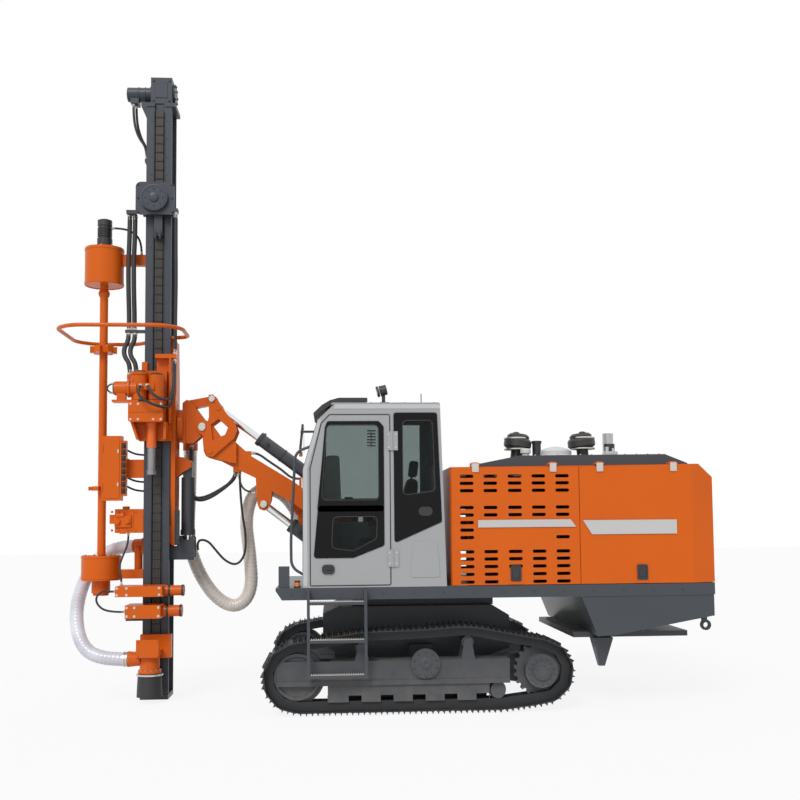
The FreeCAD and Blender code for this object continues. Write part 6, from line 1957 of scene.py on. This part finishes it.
@dataclass
class Foot:
    """Bolts and rings of the pipe clamps, and bands, bolts and door of the dust hood."""

    axis: Flat = (-2.48, -0.25)
    duct_height: float = 0.465
    door_face: float = -0.4085

    def build(self) -> None:
        """Makes the foot's pieces."""
        x, y = self.axis
        clamp = grid((-2.80, -2.70, -2.36), [-0.42], (1.15, 1.22))
        lower = grid((-2.70, -2.62, -2.37), [-0.40], (0.925, 1.015))
        add_piece("clamp_bolts", hex_bolts(np.concatenate([clamp, lower]), LEFT, 0.011), ZINC, Body.BEAM)
        rings = [collar(radius, 0.006, (0.003, 0.022, 0.025), (end - back, y, z), REAR, 36)
                 for end, z, radius in ((-2.15, 1.185, 0.055), (-2.17, 0.97, 0.060)) for back in (0.0, 0.14)]
        add_piece("clamp_cylinder_rings", joined(rings), BLACK, Body.BEAM)
        band = collar(0.137, 0.0035, (0.002, 0.020, 0.022), (x, y, 0.290), UP, 48)
        duct = joined([collar(*DUCT_BAND, (at, y, self.duct_height), FRONT) for at in (-2.712, -2.738)])
        add_piece("hood_bands", band + duct, ZINC, Body.BEAM)
        low = hex_bolts(round_places((x, y, 0.350), 0.113, spread(12, 0.5)), UP, 0.007)
        add_piece("hood_bolts_low", low, ZINC, Body.BEAM)
        plate = block((-2.60, self.door_face, 0.49), (-2.36, -0.40, 0.68), 0.004)
        bolts = hex_bolts(grid((-2.58, -2.38), [self.door_face], (0.51, 0.66)), LEFT, 0.009)
        add_piece("hood_door", plate + bolts, ORANGE, Body.BEAM)


# The frame's own nodes


NODES: dict[Finish, str] = {
    ORANGE: "engine_bay panel_left_front panel_left_rear panel_right_front panel_right_rear boom_post boom rocker "
            "tilt_link feed_holder feed_cradle rotary_head magazine_frame carousel guard_ring valve_box pipe_clamps "
            "dust_hood",
    FRAME: "rollers_left rollers_right sprocket_left sprocket_right track_frame_left track_frame_right centre_frame "
           "lift_barrel tilt_barrel slide_barrel",
    DECK: "deck_frame rear_skirt hood ladder deck_fittings", BEAM_PAINT: "feed_beam top_drive hose_carriage",
    CAB: "cab_shell cab_door", PANE: "cab_glass door_glass", CLOTH: "operator_seat",
    GREY_PLASTIC: "operator_console", BLACK: "air_cleaners work_lamps", STEEL: "exhaust_stack",
    IRON: "engine_block", CHROME: "lift_rod tilt_rod slide_rod", SHOE: "track_left track_right",
    CHAIN: "feed_chain", PIPE_STEEL: "drill_pipe", FRONT_HOSE_WALL: "front_hose", REAR_HOSE_WALL: "rear_hose",
    RUBBER: "hood_skirt boom_hoses carriage_hose head_hoses feed_hoses",
}


def paint_nodes(nodes: dict[str, bpy.types.Object]) -> None:
    """Gives every node of the frame its finish.

    Args:
        nodes: The frame's nodes by name.
    """
    finishes = {name: finish for finish, names in NODES.items() for name in names.split()}
    for name, node in nodes.items():
        finish = finishes[name]
        if not node.material_slots:
            node.data.materials.append(finish.material())
        for material_slot in node.material_slots:
            material_slot.material = finish.material()
    LOG.info("painted %d nodes", len(nodes))


# Studio


@dataclass
class Studio:
    """Camera at the photograph's angle, pale floor and soft light."""

    eye: Point = (-0.554, -11.701, 1.878)
    pitch: float = 4.0
    yaw: float = 3.8
    roll: float = 0.5
    focal_px: float = 1050.0
    axis_below_middle_px: float = 50.0
    picture_px: float = 800.0
    sensor: float = 36.0
    far_clip: float = 200.0
    sky_light: float = 0.52
    sun_light: float = 1.7
    sun_size: float = 24.0
    sun_tilt: float = 48.0
    sun_turn: float = -24.0
    floor_half: float = 60.0
    floor_glow: float = 0.88

    def camera(self) -> None:
        """Points the camera by yaw towards +X, pitch up and roll, with a lens of the focal length."""
        data = bpy.data.cameras.new("camera")
        data.sensor_width = self.sensor
        data.lens = self.focal_px / self.picture_px * self.sensor
        data.shift_y = self.axis_below_middle_px / self.picture_px
        data.clip_end = self.far_clip
        made = bpy.data.objects.new("camera", data)
        turn = Matrix.Rotation(math.radians(-self.yaw), 4, "Z")
        tip = Matrix.Rotation(math.radians(90.0 + self.pitch), 4, "X")
        lean = Matrix.Rotation(math.radians(-self.roll), 4, "Z")
        made.matrix_world = Matrix.Translation(self.eye) @ turn @ tip @ lean
        bpy.context.scene.collection.objects.link(made)
        bpy.context.scene.camera = made

    def seen(self, graph: Graph) -> Signal:
        """1 on rays that come straight, through glass or off a mirror to the camera, else 0."""
        ray = graph.node("ShaderNodeLightPath", {}, {})
        return (ray["Is Camera Ray"] + ray["Is Transmission Ray"] + ray["Is Glossy Ray"]).clamped()

    def lights(self) -> None:
        """A soft sun over the camera's left shoulder, and an even sky that looks white and shines less."""
        sun = bpy.data.lights.new("sun", "SUN")
        sun.energy = self.sun_light
        sun.angle = math.radians(self.sun_size)
        lamp = bpy.data.objects.new("sun", sun)
        lamp.rotation_euler = (math.radians(self.sun_tilt), 0.0, math.radians(self.sun_turn))
        bpy.context.scene.collection.objects.link(lamp)
        bpy.context.scene.world = bpy.data.worlds.new("studio")
        graph = Graph(bpy.context.scene.world, "ShaderNodeOutputWorld")
        level = self.seen(graph) * (1.0 - self.sky_light) + self.sky_light
        graph.finish(graph.node("ShaderNodeBackground", {}, {"Color": (1.0, 1.0, 1.0), "Strength": level}))

    def floor(self) -> None:
        """A wide pale floor that fades into the white background but keeps the machine's shadow."""
        corners = np.array([(-1, -1, 0), (1, -1, 0), (1, 1, 0), (-1, 1, 0)]) * self.floor_half
        mesh = as_mesh("floor", Surface(corners, {4: np.array([[0, 1, 2, 3]])}))
        made = bpy.data.objects.new("floor", mesh)
        bpy.context.scene.collection.objects.link(made)
        graph = Graph.of("studio_floor")
        matt = graph.node("ShaderNodeBsdfDiffuse", {}, {"Color": (0.80, 0.80, 0.80)})
        glow = graph.node("ShaderNodeEmission", {}, {"Color": (1.0, 1.0, 1.0), "Strength": 1.0})
        mesh.materials.append(graph.finish(graph.blended(self.seen(graph) * self.floor_glow, matt, glow)))

    def build(self) -> None:
        """Makes camera, lights and floor."""
        self.camera()
        self.lights()
        self.floor()
        LOG.info("studio ready")


def main() -> None:
    """Builds the machine's pieces in order."""
    logging.basicConfig(level=logging.INFO, format="%(name)s: %(message)s")
    scene = bpy.context.scene
    for old in list(scene.objects):
        bpy.data.objects.remove(old)
    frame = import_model()
    scene.view_settings.view_transform = "Standard"
    for part in (Studio, Hoses, Cab, Steps, EngineBody, Tracks, BoomGroup, Feed, Head, Magazine, Foot):
        part().build()
    paint_nodes(frame["nodes"])
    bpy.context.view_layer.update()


if __name__ == "__main__":
    main()
